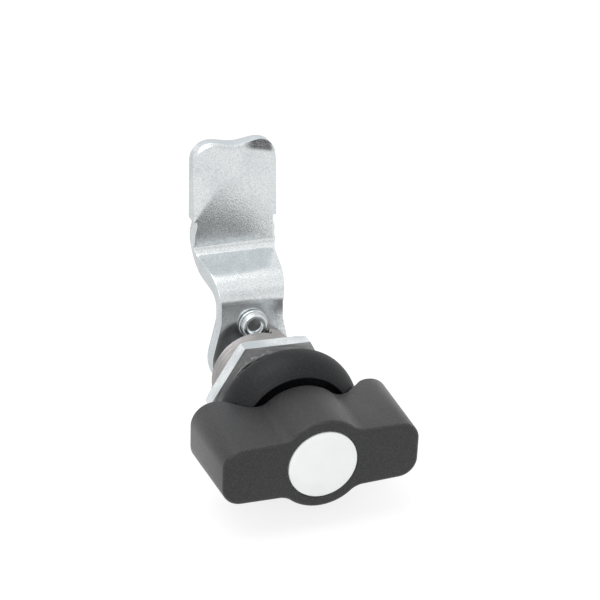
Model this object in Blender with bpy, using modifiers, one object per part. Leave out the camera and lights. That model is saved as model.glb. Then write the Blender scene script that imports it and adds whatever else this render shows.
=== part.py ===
"""Quarter-turn cam latch with a wing knob.

The latch axis is world Y and points from the knob into the cabinet. The origin is the centre of the
collar's seat, the face that rests on the outside of the door panel. Z points up along the cranked arm
in the pose that is modelled, with the stop pin against the first wall of its notch.

The turning group (knob, spindle, arm and what fastens them) hangs on one empty on the latch axis.
Lengths are in metres.
"""

import math

import bmesh
import bpy
from mathutils import Matrix, Vector

# Clearances
SEAT_GAP = 0.0003
CAP_GAP = 0.00015
RUNNING_GAP = 0.0003

# Housing: collar in front of the panel, threaded barrel behind it
BARREL_RADIUS = 0.0110
BARREL_LENGTH = 0.0229
BARREL_CHAMFER = 0.0008
COLLAR_RADIUS = 0.0165
COLLAR_RIM_RADIUS = 0.0130
COLLAR_HEIGHT = 0.0077
COLLAR_LAND = 0.0012
COLLAR_EDGE = 0.0003
COLLAR_RIM_WALL = 0.0004
POCKET_DEPTH = 0.0037

# Turning shaft and its seal
SPINDLE_RADIUS = 0.0057
SPINDLE_SQUARE = 0.0080
SPINDLE_SQUARE_CHAMFER = 0.0004
SPINDLE_FLANGE_RADIUS = 0.0079
SPINDLE_FLANGE_HEIGHT = 0.0018
SPINDLE_FRONT_LENGTH = 0.0096
SEAL_THICKNESS = 0.0019
SEAL_SQUEEZE_ROOM = 0.0004

# Panel nut
NUT_FLATS = 0.0270
NUT_HEIGHT = 0.0035
NUT_CHAMFER_RADIUS = 0.0147
NUT_CHAMFER_ANGLE = math.radians(30)
NUT_COUNTERSINK = 0.0010
NUT_TURN = math.radians(28.5)
PANEL_SPACE = 0.0070

# Wing knob
KNOB_FRONT_Y = -0.0233
KNOB_BACK_Y = -0.0032
KNOB_HUB_BACK_Y = -0.0081
KNOB_DRAFT = 0.0009
WING_REACH = 0.02235
WING_ROOT_HALF_HEIGHT = 0.0069
WING_END_HALF_HEIGHT = 0.0065
WING_CORNER_RADIUS = 0.0042
HUB_RADIUS = 0.0105
HUB_FILLET = 0.0040
KNOB_EDGE_ROUND = 0.0009
BOSS_RADIUS = 0.0076
BOWL_FOOT_RADIUS = 0.0134
BOWL_RIM_RADIUS = 0.0183
BOWL_FOOT_FILLET = 0.0025
BOWL_RIM_FILLET = 0.0030

# Cover cap in the knob's front
CAP_RADIUS = 0.00785
CAP_THICKNESS = 0.0020
CAP_DOME = 0.0004
CAP_WALL = 0.0013
CAP_HOLLOW_DEPTH = 0.0010

# Screw that holds the knob on the spindle
KNOB_SCREW_RADIUS = 0.0025
KNOB_SCREW_LENGTH = 0.0120
KNOB_SCREW_HEAD_RADIUS = 0.00425
KNOB_SCREW_HEAD_HEIGHT = 0.0029
KNOB_SCREW_HEX = 0.0030
KNOB_WASHER_RADIUS = 0.0043
KNOB_WASHER_HEIGHT = 0.0012
KNOB_WEB = 0.0023
SCREW_POCKET_RADIUS = 0.0055

# Cranked latch arm
ARM_THICKNESS = 0.0040
ARM_OFFSET = 0.0136
ARM_REACH = 0.0510
ARM_FOOT_RADIUS = 0.0095
ARM_NECK_HALF_WIDTH = 0.0075
ARM_NOSE_HALF_WIDTH = 0.0101
ARM_SHELF_FOOT_Z = 0.0217
ARM_SHELF_TOP_Z = 0.0239
LOWER_BEND_RADIUS = 0.0060
UPPER_BEND_RADIUS = 0.0008
NOSE_CORNER_RADIUS = 0.0045
SHOULDER_LOW_Z = 0.0045
SHOULDER_HIGH_Z = 0.0105
RELIEF_DEPTH = 0.0006
RAMP_ANGLE = math.radians(14)
RAMP_LEAD = 0.5
CREASE_SLOPE = 1.12
CREASE_ROUND = 0.0020
PRESS_ROUND = 0.0006
ARM_EDGE_ROUND = 0.0003
ARM_HALF_COLUMNS = 9

# Places on the nose, as shares of its height above the shelf
RELIEF_LOW_SHARE = 0.217712
RELIEF_HIGH_SHARE = 0.324723
CREASE_TOP_SHARE = 0.671587

# Stop pin riveted in the arm, and the notch that it runs in
PIN_OFFSET = 0.0115
PIN_COLLAR_RADIUS = 0.0035
PIN_COLLAR_HEIGHT = 0.0006
PIN_NOSE_RADIUS = 0.0030
PIN_NOSE_LENGTH = 0.0013
PIN_NOSE_CHAMFER = 0.0005
PIN_SHANK_RADIUS = 0.0022
PIN_HOLLOW_RADIUS = 0.0019
PIN_HOLLOW_DEPTH = 0.0010
PIN_RIVET_RADIUS = 0.0030
PIN_RIVET_HEIGHT = 0.0006
NOTCH_DEPTH = 0.0034
QUARTER_TURN = math.radians(90)

# Screw and washers behind the arm
ARM_WASHER_RADIUS = 0.0080
ARM_WASHER_HEIGHT = 0.0012
ARM_LOCK_WASHER_RADIUS = 0.0055
ARM_LOCK_WASHER_HEIGHT = 0.0015
ARM_SCREW_RADIUS = 0.0030
ARM_SCREW_LENGTH = 0.0120
ARM_SCREW_FLATS = 0.0100
ARM_SCREW_HEAD_HEIGHT = 0.0040
WASHER_SPLIT = 0.0008
HOLE_END_ROOM = 0.0015

# Facets round a full turn
FINE = 64
COARSE = 32

# Lengths worked out from the sizes above
BORE_RADIUS = SPINDLE_RADIUS + RUNNING_GAP
COUNTERBORE_RADIUS = SPINDLE_FLANGE_RADIUS + RUNNING_GAP
POCKET_RADIUS = COLLAR_RIM_RADIUS - COLLAR_RIM_WALL
POCKET_FLOOR_Y = -COLLAR_HEIGHT + POCKET_DEPTH
BOSS_END_Y = POCKET_FLOOR_Y
FLANGE_FRONT_Y = BOSS_END_Y + SEAT_GAP
FLANGE_BACK_Y = FLANGE_FRONT_Y + SPINDLE_FLANGE_HEIGHT
COUNTERBORE_FLOOR_Y = FLANGE_BACK_Y + SEAL_THICKNESS + 2 * SEAL_SQUEEZE_ROOM
SPINDLE_FRONT_Y = FLANGE_FRONT_Y - SPINDLE_FRONT_LENGTH
ARM_FRONT_Y = BARREL_LENGTH + RUNNING_GAP
ARM_BACK_Y = ARM_FRONT_Y + ARM_THICKNESS
SPINDLE_BACK_Y = ARM_BACK_Y - SEAT_GAP
SPINDLE_SHOULDER_Y = ARM_FRONT_Y - SEAT_GAP
SOCKET_FLOOR_Y = SPINDLE_FRONT_Y - SEAT_GAP
SCREW_POCKET_FLOOR_Y = SOCKET_FLOOR_Y - KNOB_WEB
CAP_RIM_Y = KNOB_FRONT_Y
CAP_BACK_Y = CAP_RIM_Y + CAP_THICKNESS
CAP_POCKET_FLOOR_Y = CAP_BACK_Y + SEAT_GAP
NOTCH_FLOOR_Y = BARREL_LENGTH - NOTCH_DEPTH
NOSE_HEIGHT = ARM_REACH - ARM_SHELF_TOP_Z
RELIEF_LOW_Z = ARM_SHELF_TOP_Z + RELIEF_LOW_SHARE * NOSE_HEIGHT
RELIEF_HIGH_Z = ARM_SHELF_TOP_Z + RELIEF_HIGH_SHARE * NOSE_HEIGHT
CREASE_TOP_Z = ARM_SHELF_TOP_Z + CREASE_TOP_SHARE * NOSE_HEIGHT
OVERCUT = 0.0010


def clear_scene():
    for item in list(bpy.data.objects):
        bpy.data.objects.remove(item)


def new_collection(name):
    collection = bpy.data.collections.new(name)
    bpy.context.scene.collection.children.link(collection)
    return collection


def make_material(name, color, roughness, metallic):
    material = bpy.data.materials.new(name)
    material.use_nodes = True
    shader = material.node_tree.nodes["Principled BSDF"]
    shader.inputs["Base Color"].default_value = (*color, 1.0)
    shader.inputs["Roughness"].default_value = roughness
    shader.inputs["Metallic"].default_value = metallic
    return material


def arc(center, radius, start, end, steps):
    """Points on an arc, from the start angle to the end angle, both included."""
    points = []
    for i in range(steps + 1):
        angle = start + (end - start) * i / steps
        points.append((center[0] + radius * math.cos(angle), center[1] + radius * math.sin(angle)))
    return points


def rounded_corner(before, corner, after, radius, steps):
    """Arc that rounds the corner between two straight runs of an outline."""
    corner = Vector(corner)
    toward_before = (Vector(before) - corner).normalized()
    toward_after = (Vector(after) - corner).normalized()
    half_angle = toward_before.angle(toward_after) / 2
    bisector = (toward_before + toward_after).normalized()
    center = corner + bisector * (radius / math.sin(half_angle))
    start = corner + toward_before * (radius / math.tan(half_angle)) - center
    end = corner + toward_after * (radius / math.tan(half_angle)) - center
    start_angle = math.atan2(start.y, start.x)
    turn = start.angle_signed(end)
    return arc(center, radius, start_angle, start_angle - turn, steps)


def add_object(name, mesh, collection):
    item = bpy.data.objects.new(name, mesh)
    collection.objects.link(item)
    return item


def bake(item):
    """Replace an object's mesh by its evaluated one and drop its modifiers."""
    depsgraph = bpy.context.evaluated_depsgraph_get()
    mesh = bpy.data.meshes.new_from_object(item.evaluated_get(depsgraph))
    item.modifiers.clear()
    item.data = mesh


def shade(item, material):
    """Smooth shading with crisp edges, and one material."""
    item.data.materials.clear()
    item.data.materials.append(material)
    item.data.shade_smooth()
    item.data.set_sharp_from_angle(angle=math.radians(35))


def turned(name, profile, collection, facets=FINE, closed=False):
    """Body turned about the latch axis.

    The profile lists (radius, y) points. Its outer side runs from the back of the latch to the front.
    A closed profile makes a ring, an open one starts and ends on the axis.
    """
    mesh = bpy.data.meshes.new(name)
    edges = [(i, i + 1) for i in range(len(profile) - 1)]
    if closed:
        edges.append((len(profile) - 1, 0))
    mesh.from_pydata([(radius, 0.0, y) for radius, y in profile], edges, [])
    item = add_object(name, mesh, collection)
    screw = item.modifiers.new("turn", "SCREW")
    screw.axis = "Z"
    screw.angle = math.radians(360)
    screw.steps = facets
    screw.render_steps = facets
    screw.use_merge_vertices = True
    screw.merge_threshold = 0.000001
    bake(item)
    item.data.transform(Matrix.Rotation(math.radians(-90), 4, "X"))
    return item


def prism(name, outline, front_y, back_y, collection):
    """Body extruded along the latch axis from an outline of (x, z) points, counter-clockwise in the front view."""
    model = bmesh.new()
    vertices = [model.verts.new((x, front_y, z)) for x, z in outline]
    face = model.faces.new(vertices)
    swept = bmesh.ops.extrude_face_region(model, geom=[face])
    moved = [part for part in swept["geom"] if isinstance(part, bmesh.types.BMVert)]
    bmesh.ops.translate(model, verts=moved, vec=(0.0, back_y - front_y, 0.0))
    bmesh.ops.recalc_face_normals(model, faces=model.faces)
    mesh = bpy.data.meshes.new(name)
    model.to_mesh(mesh)
    model.free()
    return add_object(name, mesh, collection)


def polygon(flats, sides, turn=0.0):
    """Outline of a regular polygon with the given width across flats."""
    radius = flats / 2 / math.cos(math.pi / sides)
    points = []
    for i in range(sides):
        angle = turn + math.pi / sides + 2 * math.pi * i / sides
        points.append((radius * math.cos(angle), radius * math.sin(angle)))
    return points


def combine(item, tool, operation):
    """Boolean with a tool from the tools collection."""
    modifier = item.modifiers.new(tool.name, "BOOLEAN")
    modifier.operation = operation
    modifier.solver = "EXACT"
    modifier.object = tool
    bake(item)


def cut(item, tool):
    combine(item, tool, "DIFFERENCE")


def hide_tools(collection):
    for tool in collection.objects:
        tool.hide_render = True
        tool.display_type = "WIRE"


def build_housing(parts, tools, material):
    """Collar with a front pocket for the knob's boss, and the barrel with the notch for the stop pin."""
    drop = COLLAR_HEIGHT - COLLAR_LAND - COLLAR_EDGE
    inset = COLLAR_RADIUS - COLLAR_RIM_RADIUS
    dome_radius = (drop ** 2 + inset ** 2) / (2 * inset)
    dome_center = (COLLAR_RADIUS - dome_radius, -COLLAR_LAND - COLLAR_EDGE)
    dome_end = -math.asin(drop / dome_radius)
    profile = [
        (BARREL_RADIUS - BARREL_CHAMFER, BARREL_LENGTH),
        (BARREL_RADIUS, BARREL_LENGTH - BARREL_CHAMFER),
        (BARREL_RADIUS, 0.0),
        (COLLAR_RADIUS - COLLAR_EDGE, 0.0),
        (COLLAR_RADIUS, -COLLAR_EDGE),
    ]
    profile += arc(dome_center, dome_radius, 0.0, dome_end, 9)
    profile += [
        (POCKET_RADIUS, -COLLAR_HEIGHT),
        (POCKET_RADIUS, POCKET_FLOOR_Y),
        (COUNTERBORE_RADIUS, POCKET_FLOOR_Y),
        (COUNTERBORE_RADIUS, COUNTERBORE_FLOOR_Y),
        (BORE_RADIUS, COUNTERBORE_FLOOR_Y),
        (BORE_RADIUS, BARREL_LENGTH),
    ]
    housing = turned("housing", profile, parts, closed=True)

    half_pin = math.asin(PIN_COLLAR_RADIUS / PIN_OFFSET) + RUNNING_GAP / BARREL_RADIUS
    first_wall = math.radians(90) - half_pin
    last_wall = math.radians(90) + QUARTER_TURN + half_pin
    inner = (BORE_RADIUS - OVERCUT) / math.cos(math.radians(4))
    outer = BARREL_RADIUS + OVERCUT
    outline = arc((0, 0), outer, first_wall, last_wall, 24)
    outline += arc((0, 0), inner, last_wall, first_wall, 24)
    notch = prism("notch_cutter", outline, NOTCH_FLOOR_Y, BARREL_LENGTH + OVERCUT, tools)
    cut(housing, notch)
    shade(housing, material)
    return housing


def square_end(name, front_y, back_y, tools):
    """Square length of the spindle with chamfered edges."""
    half = SPINDLE_SQUARE / 2
    near = half - SPINDLE_SQUARE_CHAMFER
    outline = [
        (half, -near), (half, near), (near, half), (-near, half),
        (-half, near), (-half, -near), (-near, -half), (near, -half),
    ]
    return prism(name, outline, front_y, back_y, tools)


def bore_tool(name, radius, front_y, back_y, tools):
    """Round cutter along the latch axis."""
    return turned(name, [(0.0, back_y), (radius, back_y), (radius, front_y), (0.0, front_y)], tools, COARSE)


def build_spindle(parts, tools, material):
    """Shaft with a flange in the counterbore, a square at each end and a tapped hole in each square."""
    profile = [
        (0.0, SPINDLE_SHOULDER_Y),
        (SPINDLE_RADIUS, SPINDLE_SHOULDER_Y),
        (SPINDLE_RADIUS, FLANGE_BACK_Y),
        (SPINDLE_FLANGE_RADIUS, FLANGE_BACK_Y),
        (SPINDLE_FLANGE_RADIUS, FLANGE_FRONT_Y),
        (0.0, FLANGE_FRONT_Y),
    ]
    spindle = turned("spindle", profile, parts)
    front = square_end("spindle_front_square", SPINDLE_FRONT_Y, FLANGE_FRONT_Y + OVERCUT, tools)
    back = square_end("spindle_back_square", SPINDLE_SHOULDER_Y - OVERCUT, SPINDLE_BACK_Y, tools)
    combine(spindle, front, "UNION")
    combine(spindle, back, "UNION")

    knob_screw_tip = SCREW_POCKET_FLOOR_Y - KNOB_WASHER_HEIGHT - 2 * SEAT_GAP + KNOB_SCREW_LENGTH
    front_hole_end = knob_screw_tip + HOLE_END_ROOM
    front_hole = bore_tool(
        "knob_screw_hole_cutter", KNOB_SCREW_RADIUS + RUNNING_GAP,
        SPINDLE_FRONT_Y - OVERCUT, front_hole_end, tools)
    cut(spindle, front_hole)

    arm_screw_tip = arm_screw_head_front() - ARM_SCREW_LENGTH
    back_hole = bore_tool(
        "arm_screw_hole_cutter", ARM_SCREW_RADIUS + RUNNING_GAP,
        arm_screw_tip - HOLE_END_ROOM, SPINDLE_BACK_Y + OVERCUT, tools)
    cut(spindle, back_hole)
    shade(spindle, material)
    return spindle


def build_shaft_seal(parts, material):
    """Rubber ring between the spindle's flange and the floor of the counterbore."""
    tube = SEAL_THICKNESS / 2
    center_y = (FLANGE_BACK_Y + COUNTERBORE_FLOOR_Y) / 2
    bpy.ops.mesh.primitive_torus_add(
        major_segments=48, minor_segments=12,
        major_radius=SPINDLE_RADIUS + RUNNING_GAP + tube, minor_radius=tube,
        location=(0.0, center_y, 0.0), rotation=(math.radians(90), 0.0, 0.0))
    seal = bpy.context.object
    seal.name = "shaft_seal"
    seal.data.name = "shaft_seal"
    for collection in list(seal.users_collection):
        collection.objects.unlink(seal)
    parts.objects.link(seal)
    shade(seal, material)
    return seal


def hexagon(name, flats, turn, front_y, back_y, chamfer_radius, chamfered_front, collection, tools):
    """Six-sided body whose corners are chamfered on the back, and on the front if asked."""
    body = prism(name, polygon(flats, 6, turn), front_y, back_y, collection)
    corner = flats / 2 / math.cos(math.pi / 6) + OVERCUT
    depth = (corner - chamfer_radius) * math.tan(NUT_CHAMFER_ANGLE)
    profile = [(0.0, back_y), (chamfer_radius, back_y), (corner, back_y - depth)]
    if chamfered_front:
        profile += [(corner, front_y + depth), (chamfer_radius, front_y)]
    else:
        profile += [(corner, front_y)]
    profile += [(0.0, front_y)]
    envelope = turned(name + "_chamfer_tool", profile, tools)
    combine(body, envelope, "INTERSECT")
    return body


def build_mounting_nut(parts, tools, material):
    """Thin hexagon nut, countersunk on both faces."""
    front_y = PANEL_SPACE
    back_y = PANEL_SPACE + NUT_HEIGHT
    nut = hexagon(
        "mounting_nut", NUT_FLATS, NUT_TURN, front_y, back_y, NUT_CHAMFER_RADIUS, True, parts, tools)
    bore = BARREL_RADIUS + RUNNING_GAP
    mouth = bore + NUT_COUNTERSINK
    profile = [
        (0.0, back_y + OVERCUT),
        (mouth, back_y + OVERCUT),
        (mouth, back_y),
        (bore, back_y - NUT_COUNTERSINK),
        (bore, front_y + NUT_COUNTERSINK),
        (mouth, front_y),
        (mouth, front_y - OVERCUT),
        (0.0, front_y - OVERCUT),
    ]
    cut(nut, turned("nut_bore_cutter", profile, tools))
    shade(nut, material)
    return nut


def wing_outline(grow):
    """Knob outline in the front view, grown outwards by a length: two wings and a round hub."""
    reach = WING_REACH + grow
    end_half = WING_END_HALF_HEIGHT + grow
    root_half = WING_ROOT_HALF_HEIGHT + grow
    corner = WING_CORNER_RADIUS + grow
    hub = HUB_RADIUS + grow
    fillet = HUB_FILLET - grow
    fillet_x = math.sqrt((hub + fillet) ** 2 - (root_half + fillet) ** 2)
    fillet_angle = math.atan2(root_half + fillet, fillet_x)
    quarter = arc((reach - corner, end_half - corner), corner, 0.0, math.radians(90), 8)
    quarter += arc((fillet_x, root_half + fillet), fillet, math.radians(-90), fillet_angle - math.pi, 6)
    quarter += arc((0, 0), hub, fillet_angle, math.radians(90), 6)[1:]
    left = [(-x, z) for x, z in reversed(quarter[:-1])]
    upper = quarter + left
    return upper + [(-x, -z) for x, z in upper]


def loft(name, sections, collection):
    """Closed body through sections of (y, outline), from the front to the back."""
    model = bmesh.new()
    rings = []
    for y, outline in sections:
        rings.append([model.verts.new((x, y, z)) for x, z in outline])
    for front, back in zip(rings, rings[1:]):
        for i in range(len(front)):
            j = (i + 1) % len(front)
            model.faces.new((front[i], front[j], back[j], back[i]))
    model.faces.new(rings[0])
    model.faces.new(rings[-1])
    bmesh.ops.recalc_face_normals(model, faces=model.faces)
    mesh = bpy.data.meshes.new(name)
    model.to_mesh(mesh)
    model.free()
    return add_object(name, mesh, collection)


def bowl_profile():
    """Back of the knob: a boss, a flat ring, then a cone that follows the collar's dome to the wings."""
    foot = (BOWL_FOOT_RADIUS, KNOB_HUB_BACK_Y)
    rim = (BOWL_RIM_RADIUS, KNOB_BACK_Y)
    ring_start = (BOSS_RADIUS, KNOB_HUB_BACK_Y)
    wing_back = (WING_REACH, KNOB_BACK_Y)
    behind = KNOB_BACK_Y + OVERCUT
    profile = [(0.0, behind), (BOWL_RIM_RADIUS + BOWL_RIM_FILLET, behind)]
    profile += rounded_corner(wing_back, rim, foot, BOWL_RIM_FILLET, 6)
    profile += rounded_corner(rim, foot, ring_start, BOWL_FOOT_FILLET, 5)
    profile += [ring_start, (BOSS_RADIUS, BOSS_END_Y), (0.0, BOSS_END_Y)]
    return profile


def build_wing_knob(parts, tools, material):
    """Drafted knob with two wings, bored for the cap, the screw and the spindle's square."""
    sections = []
    for i in range(5):
        angle = math.radians(90) * i / 4
        setback = KNOB_EDGE_ROUND * (1 - math.cos(angle))
        shrink = KNOB_EDGE_ROUND * (1 - math.sin(angle))
        sections.append((KNOB_FRONT_Y + setback, wing_outline(-shrink)))
    sections.append((KNOB_BACK_Y, wing_outline(KNOB_DRAFT)))
    knob = loft("wing_knob", sections, parts)

    cut(knob, turned("knob_bowl_cutter", bowl_profile(), tools))
    hole = KNOB_SCREW_RADIUS + RUNNING_GAP
    cap_pocket = CAP_RADIUS + CAP_GAP
    front_profile = [
        (0.0, SOCKET_FLOOR_Y + OVERCUT),
        (hole, SOCKET_FLOOR_Y + OVERCUT),
        (hole, SCREW_POCKET_FLOOR_Y),
        (SCREW_POCKET_RADIUS, SCREW_POCKET_FLOOR_Y),
        (SCREW_POCKET_RADIUS, CAP_POCKET_FLOOR_Y),
        (cap_pocket, CAP_POCKET_FLOOR_Y),
        (cap_pocket, KNOB_FRONT_Y - OVERCUT),
        (0.0, KNOB_FRONT_Y - OVERCUT),
    ]
    cut(knob, turned("knob_front_cutter", front_profile, tools))
    socket = polygon(SPINDLE_SQUARE + 2 * RUNNING_GAP, 4)
    cut(knob, prism("knob_socket_cutter", socket, SOCKET_FLOOR_Y, BOSS_END_Y + OVERCUT, tools))
    shade(knob, material)
    return knob


def build_cover_cap(parts, material):
    """Slightly domed cap with a hollow back that clears the screw's head."""
    hollow = CAP_RADIUS - CAP_WALL
    dome = (CAP_RADIUS ** 2 + CAP_DOME ** 2) / (2 * CAP_DOME)
    dome_angle = math.asin(CAP_RADIUS / dome)
    profile = [
        (0.0, CAP_BACK_Y - CAP_HOLLOW_DEPTH),
        (hollow, CAP_BACK_Y - CAP_HOLLOW_DEPTH),
        (hollow, CAP_BACK_Y),
        (CAP_RADIUS, CAP_BACK_Y),
    ]
    for i in range(7):
        angle = dome_angle * (1 - i / 6)
        profile.append((dome * math.sin(angle), CAP_RIM_Y - CAP_DOME + dome * (1 - math.cos(angle))))
    profile[-1] = (0.0, CAP_RIM_Y - CAP_DOME)
    cap = turned("cover_cap", profile, parts)
    shade(cap, material)
    return cap


def split_washer(name, inner, outer, front_y, back_y, parts, tools, material):
    """Spring lock washer: a flat ring with a slanted slit."""
    profile = [(outer, back_y), (outer, front_y), (inner, front_y), (inner, back_y)]
    washer = turned(name, profile, parts, COARSE, closed=True)
    half = WASHER_SPLIT / 2
    lean = (back_y - front_y) / 2
    mesh = bpy.data.meshes.new(name + "_slit_cutter")
    slit = add_object(name + "_slit_cutter", mesh, tools)
    model = bmesh.new()
    bmesh.ops.create_cube(model, size=1.0)
    bmesh.ops.scale(model, vec=(outer, back_y - front_y + 2 * OVERCUT, 2 * half), verts=model.verts)
    for vertex in model.verts:
        vertex.co.z += lean * (vertex.co.y / ((back_y - front_y) / 2))
    bmesh.ops.translate(model, vec=(outer / 2 + inner / 2, (front_y + back_y) / 2, 0.0), verts=model.verts)
    model.to_mesh(mesh)
    model.free()
    cut(washer, slit)
    shade(washer, material)
    return washer


def build_knob_screw(parts, tools, material):
    """Low cap screw with a hexagon socket, under the cover cap."""
    seat_y = SCREW_POCKET_FLOOR_Y - KNOB_WASHER_HEIGHT - 2 * SEAT_GAP
    tip_y = seat_y + KNOB_SCREW_LENGTH
    head_front_y = seat_y - KNOB_SCREW_HEAD_HEIGHT
    edge = 0.1 * KNOB_SCREW_HEAD_RADIUS
    profile = [
        (0.0, tip_y),
        (KNOB_SCREW_RADIUS - edge, tip_y),
        (KNOB_SCREW_RADIUS, tip_y - edge),
        (KNOB_SCREW_RADIUS, seat_y),
        (KNOB_SCREW_HEAD_RADIUS, seat_y),
        (KNOB_SCREW_HEAD_RADIUS, head_front_y + edge),
        (KNOB_SCREW_HEAD_RADIUS - edge, head_front_y),
        (0.0, head_front_y),
    ]
    screw = turned("knob_screw", profile, parts, COARSE)
    socket = prism(
        "knob_screw_socket_cutter", polygon(KNOB_SCREW_HEX, 6),
        head_front_y - OVERCUT, head_front_y + KNOB_SCREW_HEAD_HEIGHT / 2, tools)
    cut(screw, socket)
    shade(screw, material)
    return screw


def arm_screw_head_front():
    """Height of the seat under the arm screw's head."""
    return ARM_BACK_Y + ARM_WASHER_HEIGHT + ARM_LOCK_WASHER_HEIGHT + 3 * SEAT_GAP


def build_arm_screw(parts, tools, material):
    """Hexagon head screw in the spindle's back end."""
    seat_y = arm_screw_head_front()
    back_y = seat_y + ARM_SCREW_HEAD_HEIGHT
    tip_y = seat_y - ARM_SCREW_LENGTH
    flats = ARM_SCREW_FLATS
    screw = hexagon("arm_screw", flats, 0.0, seat_y, back_y, 0.48 * flats, False, parts, tools)
    edge = 0.1 * ARM_SCREW_RADIUS
    profile = [
        (0.0, seat_y + OVERCUT),
        (ARM_SCREW_RADIUS, seat_y + OVERCUT),
        (ARM_SCREW_RADIUS, tip_y + edge),
        (ARM_SCREW_RADIUS - edge, tip_y),
        (0.0, tip_y),
    ]
    shank = turned("arm_screw_shank", profile, tools, COARSE)
    combine(screw, shank, "UNION")
    shade(screw, material)
    return screw


def build_arm_washer(parts, material):
    """Flat washer that covers the arm's square hole."""
    front_y = ARM_BACK_Y + SEAT_GAP
    back_y = front_y + ARM_WASHER_HEIGHT
    inner = ARM_SCREW_RADIUS + RUNNING_GAP
    profile = [(ARM_WASHER_RADIUS, back_y), (ARM_WASHER_RADIUS, front_y), (inner, front_y), (inner, back_y)]
    washer = turned("arm_washer", profile, parts, closed=True)
    shade(washer, material)
    return washer


def smooth_step(low, high, value):
    t = min(1.0, max(0.0, (value - low) / (high - low)))
    return t * t * (3 - 2 * t)


def crease_height(x):
    """Height of the line where the flat of the nose turns into the run-in ramps."""
    return CREASE_TOP_Z - CREASE_SLOPE * (math.hypot(x, CREASE_ROUND) - CREASE_ROUND)


def ramp_setback(x, z):
    """How far the nose is pressed back: two ramps that meet in a ridge on the arm's centre line."""
    side = math.tan(RAMP_ANGLE) * (math.hypot(x, PRESS_ROUND) - PRESS_ROUND)
    above = z - crease_height(x)
    lead = RAMP_LEAD * (above + math.hypot(above, PRESS_ROUND)) / 2
    return max(0.0, (side + lead - math.hypot(side - lead, PRESS_ROUND / 2)) / 2)


def nose_half_width(z):
    """Half width of the nose with its two relief notches and its round corners."""
    middle = (RELIEF_LOW_Z + RELIEF_HIGH_Z) / 2
    half_span = (RELIEF_HIGH_Z - RELIEF_LOW_Z) / 2
    width = ARM_NOSE_HALF_WIDTH
    if abs(z - middle) < half_span:
        width -= RELIEF_DEPTH * math.cos(math.pi / 2 * (z - middle) / half_span)
    corner = z - (ARM_REACH - NOSE_CORNER_RADIUS)
    if corner > 0:
        width -= NOSE_CORNER_RADIUS - math.sqrt(max(0.0, NOSE_CORNER_RADIUS ** 2 - corner ** 2))
    return width


def arm_line(y, z, half_width):
    """Row of points straight across the flat or bent part of the arm."""
    return [(half_width * (i / ARM_HALF_COLUMNS - 1), y, z) for i in range(2 * ARM_HALF_COLUMNS + 1)]


def foot_lines():
    """Rows of the round foot and of the neck that the stop pin sits in, up to the lower bend."""
    lines = []
    for i in range(9):
        angle = math.radians(-84 + 84 * i / 8)
        lines.append(arm_line(ARM_FRONT_Y, ARM_FOOT_RADIUS * math.sin(angle), ARM_FOOT_RADIUS * math.cos(angle)))
    neck_end = crank_path()[0][1]
    for i in range(1, 12):
        z = neck_end * i / 12
        blend = smooth_step(SHOULDER_LOW_Z, SHOULDER_HIGH_Z, z)
        lines.append(arm_line(ARM_FRONT_Y, z, ARM_FOOT_RADIUS + (ARM_NECK_HALF_WIDTH - ARM_FOOT_RADIUS) * blend))
    return lines


def crank_path():
    """The two bends and the shelf between them, as (y, z) points."""
    shelf_foot = (ARM_FRONT_Y, ARM_SHELF_FOOT_Z)
    shelf_top = (ARM_FRONT_Y + ARM_OFFSET, ARM_SHELF_TOP_Z)
    path = rounded_corner((ARM_FRONT_Y, 0.0), shelf_foot, shelf_top, LOWER_BEND_RADIUS, 8)
    upper_bend = rounded_corner(shelf_foot, shelf_top, (shelf_top[0], ARM_REACH), UPPER_BEND_RADIUS, 4)
    start = Vector(path[-1])
    end = Vector(upper_bend[0])
    path += [tuple(start.lerp(end, i / 6)) for i in range(1, 6)]
    return path + upper_bend


def crank_lines():
    """Rows along the crank, which widens evenly from the neck to the nose."""
    path = [Vector(point) for point in crank_path()]
    steps = [0.0] + [(after - before).length for before, after in zip(path, path[1:])]
    lines = []
    reached = 0.0
    for point, step in zip(path, steps):
        reached += step
        share = reached / sum(steps)
        lines.append(arm_line(
            point.x, point.y, ARM_NECK_HALF_WIDTH + (ARM_NOSE_HALF_WIDTH - ARM_NECK_HALF_WIDTH) * share))
    return lines


def nose_line(height):
    """Row across the nose. The height is a function of x, and the row's two ends follow the nose's edges."""
    line = []
    for i in range(2 * ARM_HALF_COLUMNS + 1):
        share = i / ARM_HALF_COLUMNS - 1
        x = ARM_NOSE_HALF_WIDTH * share
        z = height(x)
        if z > ARM_REACH - NOSE_CORNER_RADIUS or abs(share) == 1:
            x = nose_half_width(z) * share
        line.append((x, ARM_FRONT_Y + ARM_OFFSET + ramp_setback(x, z), z))
    return line


def nose_lines():
    """Rows of the nose. Those around the ramps' lower edge run along it, so that it stays crisp."""
    start_z = crank_path()[-1][1]
    corner_z = ARM_REACH - NOSE_CORNER_RADIUS
    lines = []
    for i in range(1, 13):
        lines.append(nose_line(lambda x: start_z + (crease_height(x) - PRESS_ROUND - start_z) * i / 12))
    for rise in (0.0, PRESS_ROUND):
        lines.append(nose_line(lambda x: crease_height(x) + rise))
    for i in range(1, 4):
        lines.append(nose_line(lambda x: ramp_top(x) + (crease_height(x) + PRESS_ROUND - ramp_top(x)) * (1 - i / 3)))
    for i in range(1, 6):
        lines.append(nose_line(lambda x: ramp_top(x) + (corner_z - ramp_top(x)) * i / 5))
    for i in range(1, 8):
        z = corner_z + NOSE_CORNER_RADIUS * math.sin(math.radians(90 * i / 7))
        lines.append(nose_line(lambda x: z))
    return lines


def ramp_top(x):
    """Height where the ramps have reached their full slope at a distance x from the centre line."""
    return crease_height(x) + 2 * PRESS_ROUND + math.tan(RAMP_ANGLE) / RAMP_LEAD * abs(x)


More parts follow.
